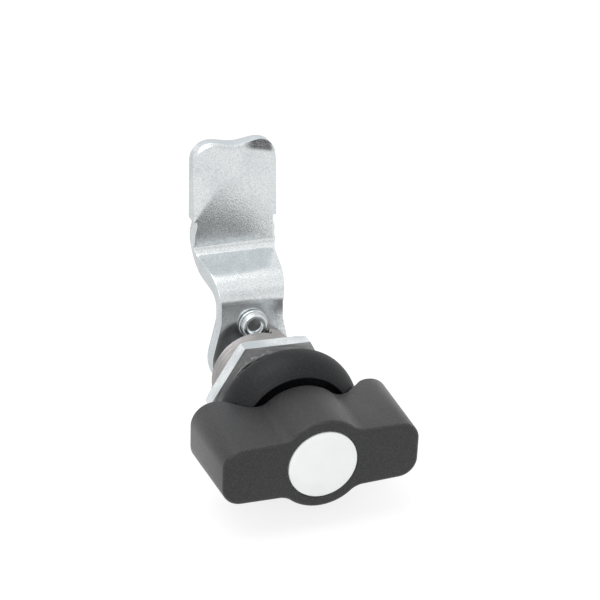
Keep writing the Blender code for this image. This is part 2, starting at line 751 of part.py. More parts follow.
def build_latch_arm(parts, tools, material):
    """Cranked plate: its front face is a sheet that follows the bends, thickened to the back."""
    model = bmesh.new()
    grid = []
    for line in foot_lines() + crank_lines() + nose_lines():
        grid.append([model.verts.new(point) for point in line])
    for lower, upper in zip(grid, grid[1:]):
        for i in range(2 * ARM_HALF_COLUMNS):
            model.faces.new((lower[i], lower[i + 1], upper[i + 1], upper[i]))
    mesh = bpy.data.meshes.new("latch_arm")
    model.to_mesh(mesh)
    model.free()
    arm = add_object("latch_arm", mesh, parts)

    thicken = arm.modifiers.new("thickness", "SOLIDIFY")
    thicken.thickness = ARM_THICKNESS
    thicken.offset = -1.0
    thicken.use_even_offset = True
    soften = arm.modifiers.new("edges", "BEVEL")
    soften.width = ARM_EDGE_ROUND
    soften.segments = 2
    soften.limit_method = "ANGLE"
    soften.angle_limit = math.radians(60)
    bake(arm)

    square = polygon(SPINDLE_SQUARE + 2 * RUNNING_GAP, 4)
    cut(arm, prism("arm_square_cutter", square, ARM_FRONT_Y - OVERCUT, ARM_BACK_Y + OVERCUT, tools))
    pin_hole = bore_tool(
        "arm_pin_cutter", PIN_SHANK_RADIUS + RUNNING_GAP,
        ARM_FRONT_Y - OVERCUT, ARM_BACK_Y + OVERCUT, tools)
    pin_hole.location.z = PIN_OFFSET
    bpy.context.view_layer.update()
    cut(arm, pin_hole)
    shade(arm, material)
    return arm


def build_stop_pin(parts, material):
    """Hollow-nosed pin with a collar on the arm's front and a riveted head on its back."""
    collar_back = ARM_FRONT_Y - SEAT_GAP
    collar_front = collar_back - PIN_COLLAR_HEIGHT
    nose_end = collar_front - PIN_NOSE_LENGTH
    rivet_front = ARM_BACK_Y + SEAT_GAP
    rivet_back = rivet_front + PIN_RIVET_HEIGHT
    profile = [
        (0.0, rivet_back),
        (PIN_SHANK_RADIUS, rivet_back),
        (PIN_RIVET_RADIUS, rivet_back - PIN_RIVET_HEIGHT / 2),
        (PIN_RIVET_RADIUS, rivet_front),
        (PIN_SHANK_RADIUS, rivet_front),
        (PIN_SHANK_RADIUS, collar_back),
        (PIN_COLLAR_RADIUS, collar_back),
        (PIN_COLLAR_RADIUS, collar_front),
        (PIN_NOSE_RADIUS, collar_front),
        (PIN_NOSE_RADIUS, nose_end + PIN_NOSE_CHAMFER),
        (PIN_NOSE_RADIUS - PIN_NOSE_CHAMFER, nose_end),
        (PIN_HOLLOW_RADIUS, nose_end),
        (PIN_HOLLOW_RADIUS - PIN_NOSE_CHAMFER, nose_end + PIN_HOLLOW_DEPTH),
        (0.0, nose_end + PIN_HOLLOW_DEPTH),
    ]
    pin = turned("stop_pin", profile, parts, COARSE)
    pin.location.z = PIN_OFFSET
    shade(pin, material)
    return pin


def main():
    clear_scene()
    parts = new_collection("cam_latch")
    tools = new_collection("cutters")

    black_plastic = make_material("black_plastic", (0.030, 0.030, 0.032), 0.55, 0.0)
    grey_cap = make_material("light_grey_plastic", (0.80, 0.82, 0.81), 0.35, 0.0)
    black_coat = make_material("black_powder_coat", (0.025, 0.025, 0.028), 0.60, 0.0)
    zinc = make_material("zinc_plated_steel", (0.72, 0.75, 0.77), 0.30, 1.0)
    rubber = make_material("seal_rubber", (0.015, 0.015, 0.015), 0.80, 0.0)

    build_housing(parts, tools, black_coat)
    build_mounting_nut(parts, tools, zinc)
    seal = build_shaft_seal(parts, rubber)

    washer_back = SCREW_POCKET_FLOOR_Y - SEAT_GAP
    lock_front = ARM_BACK_Y + ARM_WASHER_HEIGHT + 2 * SEAT_GAP
    turning = [
        build_spindle(parts, tools, zinc),
        build_wing_knob(parts, tools, black_plastic),
        build_cover_cap(parts, grey_cap),
        build_knob_screw(parts, tools, zinc),
        split_washer(
            "knob_lock_washer", KNOB_SCREW_RADIUS + RUNNING_GAP, KNOB_WASHER_RADIUS,
            washer_back - KNOB_WASHER_HEIGHT, washer_back, parts, tools, zinc),
        build_latch_arm(parts, tools, zinc),
        build_stop_pin(parts, zinc),
        build_arm_washer(parts, zinc),
        split_washer(
            "arm_lock_washer", ARM_SCREW_RADIUS + RUNNING_GAP, ARM_LOCK_WASHER_RADIUS,
            lock_front, lock_front + ARM_LOCK_WASHER_HEIGHT, parts, tools, zinc),
        build_arm_screw(parts, tools, zinc),
    ]
    axis = bpy.data.objects.new("latch_axis", None)
    parts.objects.link(axis)
    for item in turning:
        item.parent = axis
    hide_tools(tools)


main()
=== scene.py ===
"""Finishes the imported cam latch: its visible pieces with their small shapes, their materials, and the studio.

Lengths are in metres. The latch axis is world Y, and profiles are (distance from the axis, y) pairs.
"""

import math

import bmesh
import bpy
from bpy.props import FloatProperty, FloatVectorProperty, IntProperty, PointerProperty
from mathutils import Matrix, Vector


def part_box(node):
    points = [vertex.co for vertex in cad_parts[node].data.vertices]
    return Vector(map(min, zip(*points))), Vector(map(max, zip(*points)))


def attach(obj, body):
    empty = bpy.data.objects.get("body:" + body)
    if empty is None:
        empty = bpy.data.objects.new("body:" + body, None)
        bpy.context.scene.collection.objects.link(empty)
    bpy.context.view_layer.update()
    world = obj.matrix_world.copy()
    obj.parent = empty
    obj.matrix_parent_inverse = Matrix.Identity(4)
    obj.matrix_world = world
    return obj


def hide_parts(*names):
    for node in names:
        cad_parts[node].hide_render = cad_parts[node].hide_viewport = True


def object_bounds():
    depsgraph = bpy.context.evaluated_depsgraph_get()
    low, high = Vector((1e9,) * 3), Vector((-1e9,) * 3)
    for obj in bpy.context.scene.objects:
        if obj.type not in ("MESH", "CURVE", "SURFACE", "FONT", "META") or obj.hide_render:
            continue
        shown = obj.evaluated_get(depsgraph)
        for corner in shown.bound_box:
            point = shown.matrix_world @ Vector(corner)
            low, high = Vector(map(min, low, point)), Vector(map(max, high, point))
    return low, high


bl_info = {
    "name": "Cam latch",
    "version": (1, 0, 0),
    "blender": (4, 5, 0),
    "location": "3D View > Sidebar > Cam latch",
    "description": "Builds a quarter-turn cam latch with its finishes and a plain studio",
    "category": "Object",
}

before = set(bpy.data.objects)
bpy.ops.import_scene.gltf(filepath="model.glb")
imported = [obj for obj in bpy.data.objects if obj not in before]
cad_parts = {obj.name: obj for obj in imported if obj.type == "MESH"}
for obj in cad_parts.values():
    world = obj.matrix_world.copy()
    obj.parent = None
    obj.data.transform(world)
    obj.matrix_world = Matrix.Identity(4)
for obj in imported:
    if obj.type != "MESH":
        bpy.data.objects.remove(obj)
CAD_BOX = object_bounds()
HOUSING_LOW, HOUSING_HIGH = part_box("housing")
NUT_LOW, NUT_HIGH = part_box("mounting_nut")
KNOB_LOW, KNOB_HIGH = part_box("wing_knob")
CAP_LOW, CAP_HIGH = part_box("cover_cap")
ARM_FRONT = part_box("latch_arm")[0].y
PIN_LOW, PIN_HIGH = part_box("stop_pin")
BOLT_LOW, BOLT_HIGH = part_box("arm_screw")
WASHER_LOW, WASHER_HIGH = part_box("arm_washer")
SPRING_LOW, SPRING_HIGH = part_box("arm_lock_washer")

FIXED = "housing"
TURNING = "turning_group"
SMOOTH_LIMIT = math.radians(32)
MERGE = 1e-6
ROUND_STEPS = 96
NUT_STEPS = 144
CAP_STEPS = 128
PIN_STEPS = 64
SMALL_STEPS = 48
OVERCUT = 0.001
PHOTO_PIXELS = 600
PHOTO_FOCAL = 1639.34 / PHOTO_PIXELS
CAMERA_PLACE = (-0.1172, -0.2983, 0.1820)
KEY_PLACE = (-0.20, 0.05, 0.80)
FILL_PLACE = (-0.35, -0.80, 0.50)
FLOOR_HALF = 4.0
FLOOR_GAP = 0.0001
RIGHT_ANGLE = math.radians(90)
X, Y, Z = range(3)


def length(name, description, default):
    return FloatProperty(
        name=name, description=description, default=default, subtype="DISTANCE", unit="LENGTH", precision=5)


def turn(name, description, degrees):
    return FloatProperty(
        name=name, description=description, default=math.radians(degrees), subtype="ANGLE", unit="ROTATION")


def share(name, description, default):
    return FloatProperty(
        name=name, description=description, default=default, min=0.0, max=1.0, subtype="FACTOR")


def power(name, description, default):
    return FloatProperty(name=name, description=description, default=default, unit="POWER")


def color(name, description, default):
    return FloatVectorProperty(
        name=name, description=description, default=default, min=0.0, max=1.0, size=3, subtype="COLOR")


class HousingSizes(bpy.types.PropertyGroup):
    barrel_radius: length("Barrel radius", "Radius over the crests of the thread", 0.011)
    pitch: length("Thread pitch", "Distance from one crest of the thread to the next", 0.0015)
    thread_depth: length("Thread depth", "Height of the thread from root to crest", 0.00085)
    thread_start: length("Thread start", "Distance from the panel seat to the end of the thread", 0.0014)
    end_chamfer: length("End chamfer", "Chamfer at the back end of the barrel", 0.0009)
    rim_radius: length("Rim radius", "Radius of the collar's front rim", 0.013)
    rim_wall: length("Rim wall", "Thickness of the collar's front rim", 0.0004)
    land: length("Collar land", "Straight height of the collar's outer edge", 0.0003)
    seat_round: length("Seat rounding", "Rounding of the collar's back edge", 0.001)
    pocket_depth: length("Pocket depth", "Depth of the pocket for the knob's boss", 0.0037)
    flange_bore: length("Flange bore", "Radius of the bore round the spindle's flange", 0.0082)
    flange_bore_end: length("Flange bore end", "Place of that bore's floor on the axis", 0.0008)
    bore: length("Bore", "Radius of the bore round the spindle", 0.006)
    notch_depth: length("Notch depth", "Depth of the notch that the stop pin runs in", 0.0034)
    notch_margin: turn("Notch margin", "Angle from the pin's centre to the wall that it rests on", 19.28)


class NutSizes(bpy.types.PropertyGroup):
    flats: length("Width across flats", "Distance between opposite flats", 0.027)
    facing: turn("Turn", "How far the nut is screwed round", -1.5)
    corner_radius: length("Corner radius", "Radius where the chamfer of the corners starts", 0.0147)
    chamfer: turn("Corner chamfer", "Slope of the chamfer of the corners", 30)
    bore: length("Bore", "Radius of the bore, which is plain", 0.01112)
    countersink: length("Countersink", "Width of the countersink", 0.0008)
    edge: length("Edge rounding", "Rounding of the nut's edges", 0.00012)


class KnobSizes(bpy.types.PropertyGroup):
    reach: length("Wing reach", "Distance from the axis to the end of a wing", 0.02235)
    root_half: length("Root half height", "Half height of a wing beside the hub", 0.0069)
    end_half: length("End half height", "Half height of a wing at its end", 0.0065)
    corner: length("End corner", "Radius of the corners of a wing's end", 0.0042)
    hub: length("Hub radius", "Radius of the hub in front", 0.0105)
    fillet: length("Hub fillet", "Radius between the hub and a wing", 0.004)
    draft: length("Draft", "Growth of the outline from the front to the back", 0.0009)
    edge: length("Front edge", "Radius of the front edge", 0.0009)
    hub_back: length("Hub back", "Place of the hub's back ring on the axis", -0.0081)
    boss_radius: length("Boss radius", "Radius of the boss on the spindle", 0.0076)
    boss_end: length("Boss end", "Place of the boss's end on the axis", -0.004)
    bowl_foot: length("Bowl foot", "Radius where the bowl round the collar starts", 0.0134)
    bowl_rim: length("Bowl rim", "Radius where the bowl reaches the wings' back", 0.0183)
    bowl_foot_round: length("Bowl foot round", "Rounding at the foot of the bowl", 0.0025)
    bowl_rim_round: length("Bowl rim round", "Rounding at the rim of the bowl", 0.003)
    cap_pocket: length("Cap pocket", "Radius of the recess for the cap", 0.008)
    cap_pocket_floor: length("Cap pocket floor", "Place of the recess's floor on the axis", -0.021)
    screw_pocket: length("Screw pocket", "Radius of the hole for the screw's head", 0.0055)
    web_front: length("Web front", "Place of the web's front face on the axis", -0.0159)
    web_back: length("Web back", "Place of the web's back face on the axis", -0.0136)
    screw_hole: length("Screw hole", "Radius of the hole through the web", 0.0028)
    socket: length("Socket", "Width of the square socket for the spindle", 0.0086)
    small_edge: length("Small edges", "Rounding of the knob's other edges", 0.00025)
    cap_radius: length("Cap radius", "Radius of the cover cap", 0.00785)
    cap_rise: length("Cap rise", "How far the middle of the cap stands out", 0.0004)
    cap_edge: length("Cap edge", "Rounding of the cap's front edge", 0.00035)


class ArmSizes(bpy.types.PropertyGroup):
    thickness: length("Plate thickness", "Thickness of the steel plate", 0.004)
    shelf_thickness: length("Shelf thickness", "Thickness of the plate between its two bends", 0.005)
    offset: length("Crank offset", "How far the nose stands behind the foot", 0.0136)
    foot_radius: length("Foot radius", "Radius of the round foot", 0.0096)
    foot_height: length("Foot centre", "Height of the centre of the round foot", 0.0021)
    shoulder: length("Shoulder", "Height where the foot's taper ends in the neck", 0.012)
    neck_half: length("Neck half width", "Half width of the neck under the lower bend", 0.0076)
    nose_half: length("Nose half width", "Half width of the nose", 0.0102)
    nose_foot_half: length("Nose foot half width", "Half width of the nose below its relief notch", 0.0099)
    bend_bulge: length("Bend bulge", "How far the upper bend swells at its sides", 0.00035)
    shelf_foot: length("Shelf foot", "Height of the lower bend's corner", 0.0217)
    shelf_top: length("Shelf top", "Height of the upper bend's corner", 0.0246)
    reach: length("Reach", "Distance from the axis to the nose's end", 0.0512)
    lower_bend: length("Lower bend", "Radius of the lower bend on the front face", 0.0068)
    upper_bend: length("Upper bend", "Radius of the upper bend on the front face", 0.0022)
    lower_bend_back: length("Lower bend, back", "Radius of the lower bend on the back face", 0.003)
    upper_bend_back: length("Upper bend, back", "Radius of the upper bend on the back face", 0.008)
    nose_corner: length("Nose corner", "Radius of the corners of the nose", 0.0045)
    end_dip: length("End dip", "How far the middle of the nose's end lies below its sides", 0.0007)
    relief_height: length("Relief height", "Height of the small notch beside the press line", 0.0306)
    relief_span: length("Relief span", "Half height of the small notch", 0.0016)
    relief_depth: length("Relief depth", "Depth of the small notch", 0.0005)
    press_top: length("Press line top", "Height of the press line on the centre line", 0.0434)
    press_drop: length("Press line drop", "How far the press line falls to the sides of the nose", 0.0114)
    press_bow: FloatProperty(
        name="Press line bow", description="Exponent of the press line's curve", default=1.7)
    nose_lean: share("Nose lean", "How far the flat below the press line leans forward", 0.03)
    press_round: length("Press rounding", "Softness of the pressed line", 0.0006)
    press_slope: share("Press slope", "Rise of the run-in ramps above the press line", 0.094)
    roll: length("End roll", "How far the front edge of the nose's end is rolled back", 0.0004)
    roll_reach: length("End roll reach", "Distance from the end where the roll starts", 0.0013)
    edge: length("Edge rounding", "Rounding of the cut edges", 0.0004)
    square: length("Square hole", "Width of the square hole", 0.0086)
    pin_hole: length("Pin hole", "Radius of the hole for the stop pin", 0.00235)


class FastenerSizes(bpy.types.PropertyGroup):
    pin_height: length("Pin place", "Distance of the stop pin from the axis", 0.0115)
    pin_shank: length("Pin shank", "Radius of the stop pin in the arm", 0.0022)
    pin_nose: length("Pin nose", "Radius of the stop pin's nose", 0.003)
    pin_collar: length("Pin collar", "Thickness of the stop pin's collar", 0.0006)
    pin_hollow: length("Pin hollow", "Radius of the hollow in the pin's nose", 0.002)
    pin_hollow_depth: length("Pin hollow depth", "Depth of that hollow", 0.001)
    bolt_flats: length("Bolt flats", "Width across flats of the arm's screw", 0.01)
    bolt_radius: length("Bolt radius", "Radius of the screw's plain shank", 0.003)
    bolt_chamfer: turn("Bolt chamfer", "Slope of the chamfer of the bolt's corners", 30)
    bolt_dish: length("Bolt dish", "Depth of the dish in the bolt's head", 0.00035)
    bolt_edge: length("Bolt edge", "Rounding of the bolt's edges", 0.0001)
    washer_hole: length("Washer hole", "Radius of the hole in the washers", 0.0033)
    split: turn("Washer split", "Opening of the spring washer", 9)


class Finishes(bpy.types.PropertyGroup):
    plating: color("Plating", "Bright zinc plating", (0.84, 0.87, 0.88))
    plating_dull: color("Dull plating", "Zinc plating where it is duller", (0.56, 0.60, 0.62))
    plating_speck: color("Plating specks", "Small dull specks in the plating", (0.38, 0.41, 0.43))
    # Painted reflection: a dark colour at one corner of the nose's end, standing in for the dark surroundings
    # that the rolled edge mirrors.
    painted_reflection: color("Scuff", "Dark scuff at the nose's end", (0.07, 0.07, 0.075))
    die_cast: color("Die casting", "Bare barrel and seat", (0.46, 0.445, 0.44))
    coat: color("Black coat", "Coated collar", (0.004, 0.0043, 0.0052))
    plastic: color("Knob plastic", "Moulded knob", (0.008, 0.008, 0.0088))
    cap: color("Cap plastic", "Cover cap", (0.90, 0.92, 0.91))
    rubber: color("Rubber", "Seal", (0.015, 0.015, 0.015))
    floor: color("Floor", "Floor where it lights the latch", (0.80, 0.80, 0.80))
    grain: share("Grain", "Depth of the grain on moulded and coated faces", 0.80)
    sheen: share("Sheen", "Pale sheen of the knob's grain at a flat angle", 0.20)
    frost: share("Frost", "Depth of the frosty grain on plated steel", 0.50)
    facets: IntProperty(
        name="Facets", description="Steps round a full turn", default=ROUND_STEPS, min=24, max=256)


class StudioSettings(bpy.types.PropertyGroup):
    sky: share("Sky", "Strength of the even light from all round", 0.74)
    dark_side: share("Dark side", "How much darker metal mirrors the room low behind the camera", 0.16)
    key: power("Key", "Power of the large lamp above", 3.0)
    fill: power("Fill", "Power of the lamp in front", 1.8)
    key_size: length("Key size", "Diameter of the lamp above", 0.80)
    fill_size: length("Fill size", "Diameter of the lamp in front", 0.60)
    floor_lift: share("Floor lift", "Floor's brightness for the camera that shadows can't darken", 0.80)
    floor_mirrored: share("Mirrored floor", "The same where metal mirrors the floor", 0.62)
    floor_shade: share("Floor shade", "Floor's brightness that shadows darken", 0.28)
    azimuth: turn("Azimuth", "Camera's turn round the latch", -21.853)
    elevation: turn("Elevation", "Camera's height above the horizon", 25.634)
    roll: turn("Roll", "Camera's roll", 2.345)


class Value:
    """Output of a shader node. Arithmetic on it adds Math nodes."""

    def __init__(self, graph, socket):
        self.graph = graph
        self.socket = socket

    def math(self, operation, *others):
        inputs = dict(enumerate((self, *others)))
        return self.graph.node("ShaderNodeMath", {"operation": operation}, inputs)

    def __add__(self, other):
        return self.math("ADD", other)

    __radd__ = __add__

    def __mul__(self, other):
        return self.math("MULTIPLY", other)

    __rmul__ = __mul__

    def __sub__(self, other):
        return self.math("SUBTRACT", other)

    def __rsub__(self, other):
        return self.graph.node("ShaderNodeMath", {"operation": "SUBTRACT"}, {0: other, 1: self})

    def clamped(self):
        return self.graph.node(
            "ShaderNodeMath", {"operation": "ADD", "use_clamp": True}, {0: self, 1: 0.0})

    def between(self, low, high):
        """0 below low, 1 above high and smooth between them."""
        return self.graph.node(
            "ShaderNodeMapRange", {"interpolation_type": "SMOOTHSTEP"},
            {0: self, 1: low, 2: high, 3: 0.0, 4: 1.0})


class Graph:
    """Node tree that is filled from Python expressions."""

    def __init__(self, tree):
        self.tree = tree

    def node(self, kind, settings=None, inputs=None, output=0):
        """Add a node. Its settings come first, then the values or links of its sockets."""
        made = self.tree.nodes.new(kind)
        for key, value in (settings or {}).items():
            setattr(made, key, value)
        for key, value in (inputs or {}).items():
            self.feed(made.inputs[key], value)
        return Value(self, made.outputs[output])

    def feed(self, socket, value):
        if isinstance(value, Value):
            self.tree.links.new(value.socket, socket)
        elif socket.type == "RGBA":
            socket.default_value = (*value, 1.0)
        else:
            socket.default_value = value

    def ray(self, *kinds):
        """1 for rays of any of the kinds, else 0."""
        flags = [self.node("ShaderNodeLightPath", output=f"Is {kind} Ray") for kind in kinds]
        total = flags[0]
        for flag in flags[1:]:
            total = total + flag
        return total.clamped()


class Finish(Graph):
    """Material whose patterns read the piece's own coordinates."""

    def __init__(self, name):
        self.material = bpy.data.materials.new(name)
        self.material.use_nodes = True
        super().__init__(self.material.node_tree)
        self.shader = self.tree.nodes["Principled BSDF"]
        self.place = self.node("ShaderNodeTexCoord", output="Object")

    def set(self, **values):
        for name, value in values.items():
            self.feed(self.shader.inputs[name.replace("_", " ").title()], value)

    def noise(self, scale, detail=2.0, roughness=0.5):
        """Cloudy pattern from 0 to 1. The scale is in cells per metre."""
        return self.node("ShaderNodeTexNoise", inputs={
            "Vector": self.place, "Scale": scale, "Detail": detail, "Roughness": roughness})

    def blend(self, factor, low, high):
        """Color between low and high."""
        return self.node("ShaderNodeMix", {"data_type": "RGBA"}, {0: factor, 6: low, 7: high}, output=2)

    def axis(self, index):
        """One coordinate of the piece."""
        return self.node("ShaderNodeSeparateXYZ", inputs={0: self.place}, output=index)

    def facing(self, index):
        """One component of the surface's direction, as the piece lies at rest."""
        normal = self.node("ShaderNodeTexCoord", output="Normal")
        return self.node("ShaderNodeSeparateXYZ", inputs={0: normal}, output=index)

    def relief(self, height, strength, depth):
        bump = self.node(
            "ShaderNodeBump", inputs={"Height": height, "Strength": strength, "Distance": depth})
        self.feed(self.shader.inputs["Normal"], bump)


def scaled(shade, factor):
    """Color with every channel multiplied by a factor."""
    return tuple(channel * factor for channel in shade)


def plated_steel(finish, finishes):
    """Zinc plating on rolled steel: frosty grain, duller cut edges with painted shade on the nose's end face,
    and a painted dark reflection at one corner of the end.
    """
    clouds = finish.noise(scale=150, detail=3.0, roughness=0.6)
    grain = finish.noise(scale=2600, detail=3.0, roughness=0.7)
    specks = finish.noise(scale=4200, detail=1.0).between(0.60, 0.74)
    across = finish.axis(X)
    height = finish.axis(Z)
    # Painted shade: the nose's end face is darkened in colour, 1.8 times as strongly as the sides, standing in
    # for the darker room it mirrors. The side faces are the duller sheared edges.
    side = finish.facing(X).math("ABSOLUTE").between(0.75, 0.9)
    end = finish.facing(Z).between(0.7, 0.9) * height.between(0.040, 0.044)
    edge = side + end * 1.8
    # Painted reflection: a dark patch on front-facing faces at one corner of the nose's end, standing in for
    # the dark surroundings that the rolled edge mirrors.
    sides = across.between(0.0010, 0.0045) * (1.0 - across.between(0.0084, 0.0098))
    corner = sides * (height + across * 0.25).between(0.0496, 0.0508)
    in_front = (finish.facing(Y) * -1.0).between(0.4, 0.8)
    painted_reflection = (corner * in_front * (0.40 + grain * 0.9)).clamped()
    tone = (clouds.between(0.35, 0.7) * 0.30 + grain.between(0.40, 0.62) * 0.50 + edge * 0.40).clamped()
    plating = finish.blend(tone, finishes.plating, finishes.plating_dull)
    speckled = finish.blend(specks * 0.30, plating, finishes.plating_speck)
    finish.set(
        base_color=finish.blend(painted_reflection, speckled, finishes.painted_reflection),
        roughness=(0.09 + clouds * 0.08 + grain * 0.10 + edge * 0.20).clamped(),
        metallic=1.0)
    finish.relief(grain + clouds * 0.3, finishes.frost, depth=0.00005)


def turned_zinc(finish, finishes):
    """Plated turned parts: faint rings round the axis, a fine grain and a soft cloudiness."""
    clouds = finish.noise(scale=240)
    grain = finish.noise(scale=3000, roughness=0.6)
    rings = finish.node(
        "ShaderNodeTexWave", {"wave_type": "RINGS", "rings_direction": "Y"},
        {"Vector": finish.place, "Scale": 900.0, "Distortion": 0.6, "Detail": 1.0, "Detail Scale": 2.0},
        output=1)
    tone = (clouds.between(0.35, 0.7) * 0.5 + grain.between(0.3, 0.7) * 0.4).clamped()
    finish.set(
        base_color=finish.blend(tone, finishes.plating, finishes.plating_dull),
        roughness=(0.17 + clouds * 0.06 + grain * 0.10).clamped(),
        metallic=1.0)
    finish.relief(rings * 0.15 + grain * 0.85, strength=0.25, depth=0.00002)


def coated_casting(finish, finishes):
    """Housing: a finely grained black coat on the collar, and bare metal on the seat and the barrel."""
    bare = finish.axis(Y).between(-0.00040, -0.00025)
    grain = finish.noise(scale=2700, roughness=0.6)
    fine = finish.noise(scale=5200, detail=1.0)
    clouds = finish.noise(scale=220)
    coat = finish.blend(grain.between(0.45, 0.68), finishes.coat, scaled(finishes.coat, 3.5))
    metal = finish.blend(
        clouds.between(0.3, 0.7) * 0.6 + grain.between(0.4, 0.7) * 0.4,
        finishes.die_cast, scaled(finishes.die_cast, 0.8))
    finish.set(
        base_color=finish.blend(bare, coat, metal),
        roughness=(0.40 + grain * 0.16 - bare * 0.10).clamped(),
        metallic=bare)
    finish.relief((grain + fine * 0.6) * (1.0 - bare * 0.6), finishes.grain, depth=0.00005)
    finish.shader.inputs["Specular IOR Level"].default_value = 0.30


def grained_plastic(finish, finishes):
    """Moulded black plastic with the fine spark-eroded grain of its mould."""
    grain = finish.noise(scale=2500, roughness=0.6)
    fine = finish.noise(scale=5000, detail=1.0)
    clouds = finish.noise(scale=90)
    tone = (
        grain.between(0.42, 0.68) * 0.7 + fine.between(0.5, 0.75) * 0.5
        + clouds.between(0.3, 0.7) * 0.1).clamped()
    finish.set(
        base_color=finish.blend(tone, finishes.plastic, scaled(finishes.plastic, 3.4)),
        roughness=(0.31 + grain * 0.16 + clouds * 0.05).clamped(),
        metallic=0.0)
    finish.relief(grain + fine * 0.6, finishes.grain, depth=0.00009)
    finish.shader.inputs["Sheen Weight"].default_value = finishes.sheen
    finish.shader.inputs["Sheen Roughness"].default_value = 0.4


def cap_plastic(finish, finishes):
    """Pale satin plastic."""
    clouds = finish.noise(scale=120)
    grain = finish.noise(scale=3000)
    finish.set(
        base_color=finish.blend(clouds.between(0.3, 0.7), finishes.cap, scaled(finishes.cap, 0.96)),
        roughness=(0.28 + grain * 0.10).clamped(),
        metallic=0.0)
    finish.relief(grain, strength=0.06, depth=0.00002)


def seal_rubber(finish, finishes):
    """Dull black rubber."""
    grain = finish.noise(scale=3500)
    finish.set(
        base_color=finish.blend(grain, finishes.rubber, scaled(finishes.rubber, 2)),
        roughness=(0.65 + grain * 0.2).clamped(),
        metallic=0.0)
    finish.relief(grain, strength=0.2, depth=0.00003)


def finished(make):
    """Material that is filled by a function and named after it. It is made once."""
    found = bpy.data.materials.get(make.__name__)
    if found:
        return found
    finish = Finish(make.__name__)
    make(finish, bpy.context.scene.latch_finishes)
    return finish.material


def piece_from(bm, name):
    """Object at the origin with the mesh of a bmesh."""
    mesh = bpy.data.meshes.new(name)
    bm.to_mesh(mesh)
    bm.free()
    piece = bpy.data.objects.new(name, mesh)
    bpy.context.scene.collection.objects.link(piece)
    return piece


def weld(bm):
    """Join the vertices that lie on one spot and turn every face outward."""
    bmesh.ops.remove_doubles(bm, verts=bm.verts[:], dist=MERGE)
    bmesh.ops.recalc_face_normals(bm, faces=bm.faces[:])


def bake(piece):
    """Replace a piece's mesh by the result of its modifiers."""
    evaluated = piece.evaluated_get(bpy.context.evaluated_depsgraph_get())
    mesh = bpy.data.meshes.new_from_object(evaluated)
    piece.modifiers.clear()
    piece.data = mesh


def carve(piece, cutter, operation="DIFFERENCE"):
    """Boolean with a cutter, which is then removed."""
    modifier = piece.modifiers.new("cut", "BOOLEAN")
    modifier.operation = operation
    modifier.solver = "EXACT"
    modifier.object = cutter
    bake(piece)
    bpy.data.objects.remove(cutter)


def soften(piece, width, limit, segments=2):
    """Small rounding on the edges that are sharper than the limit, in degrees."""
    modifier = piece.modifiers.new("edges", "BEVEL")
    modifier.width = width
    modifier.segments = segments
    modifier.limit_method = "ANGLE"
    modifier.angle_limit = math.radians(limit)
    modifier.use_clamp_overlap = True
    modifier.harden_normals = False
    bake(piece)


def hand_over(piece, make, body, node):
    """Give a piece its material, shading and body, and hide the CAD node that it replaces."""
    piece.data.materials.clear()
    piece.data.materials.append(finished(make))
    piece.data.shade_smooth()
    piece.data.set_sharp_from_angle(angle=SMOOTH_LIMIT)
    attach(piece, body)
    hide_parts(node)


def round_corner(bm, vertex, radius, segments):
    """Round a corner of an outline with an arc of the given radius."""
    ends = [(edge.other_vert(vertex).co - vertex.co).normalized() for edge in vertex.link_edges]
    half = ends[0].angle(ends[1]) / 2
    bmesh.ops.bevel(
        bm, geom=[vertex], offset=radius / math.tan(half), offset_type="OFFSET", affect="VERTICES",
        segments=segments, profile=0.5, material=-1, clamp_overlap=False)


def profile_edges(bm, points, closed):
    """Chain of edges through (radius, y) points. A third number rounds that corner, a fourth is its steps."""
    corners = [bm.verts.new((point[0], point[1], 0.0)) for point in points]
    for start, end in zip(corners, corners[1:]):
        bm.edges.new((start, end))
    if closed:
        bm.edges.new((corners[-1], corners[0]))
    for corner, point in zip(corners, points):
        if len(point) > 2:
            round_corner(bm, corner, point[2], point[3] if len(point) > 3 else 4)


def turned(name, points, closed=False, steps=None):
    """Body turned about the latch axis."""
    bm = bmesh.new()
    profile_edges(bm, points, closed)
    bmesh.ops.spin(
        bm, geom=bm.verts[:] + bm.edges[:], cent=(0, 0, 0), axis=(0, 1, 0), angle=math.tau,
        steps=steps or bpy.context.scene.latch_finishes.facets, use_merge=True)
    weld(bm)
    return piece_from(bm, name)


def corner_distance(sides, flats):
    """Distance from the middle of a regular polygon to its corners."""
    return flats / 2 / math.cos(math.pi / sides)


def prism(name, sides, flats, facing, front, back):
    """Regular prism along the latch axis."""
    bm = bmesh.new()
    made = bmesh.ops.create_circle(
        bm, cap_ends=True, segments=sides, radius=corner_distance(sides, flats))
    bmesh.ops.rotate(
        bm, verts=made["verts"], cent=(0, 0, 0),
        matrix=Matrix.Rotation(RIGHT_ANGLE, 3, "X") @ Matrix.Rotation(facing + math.pi / sides, 3, "Z"))
    bmesh.ops.translate(bm, verts=made["verts"], vec=(0, front, 0))
    swept = bmesh.ops.extrude_face_region(bm, geom=bm.faces[:])
    ends = [part for part in swept["geom"] if isinstance(part, bmesh.types.BMVert)]
    bmesh.ops.translate(bm, verts=ends, vec=(0, back - front, 0))
    bmesh.ops.recalc_face_normals(bm, faces=bm.faces[:])
    return piece_from(bm, name)


def rim_edges(bm, y):
    """Open edges that lie at one place on the axis."""
    return [
        edge for edge in bm.edges
        if edge.is_boundary and all(abs(vertex.co.y - y) < MERGE for vertex in edge.verts)]


def sweep_rim(bm, edges, points):
    """Extrude an open rim through (radius, y) points and return the last rim."""
    for radius, y in points:
        made = bmesh.ops.extrude_edge_only(bm, edges=edges)["geom"]
        for vertex in (part for part in made if isinstance(part, bmesh.types.BMVert)):
            spoke = Vector((vertex.co.x, 0.0, vertex.co.z)).normalized() * radius
            vertex.co = (spoke.x, y, spoke.z)
        edges = [part for part in made if isinstance(part, bmesh.types.BMEdge) and part.is_boundary]
    return edges


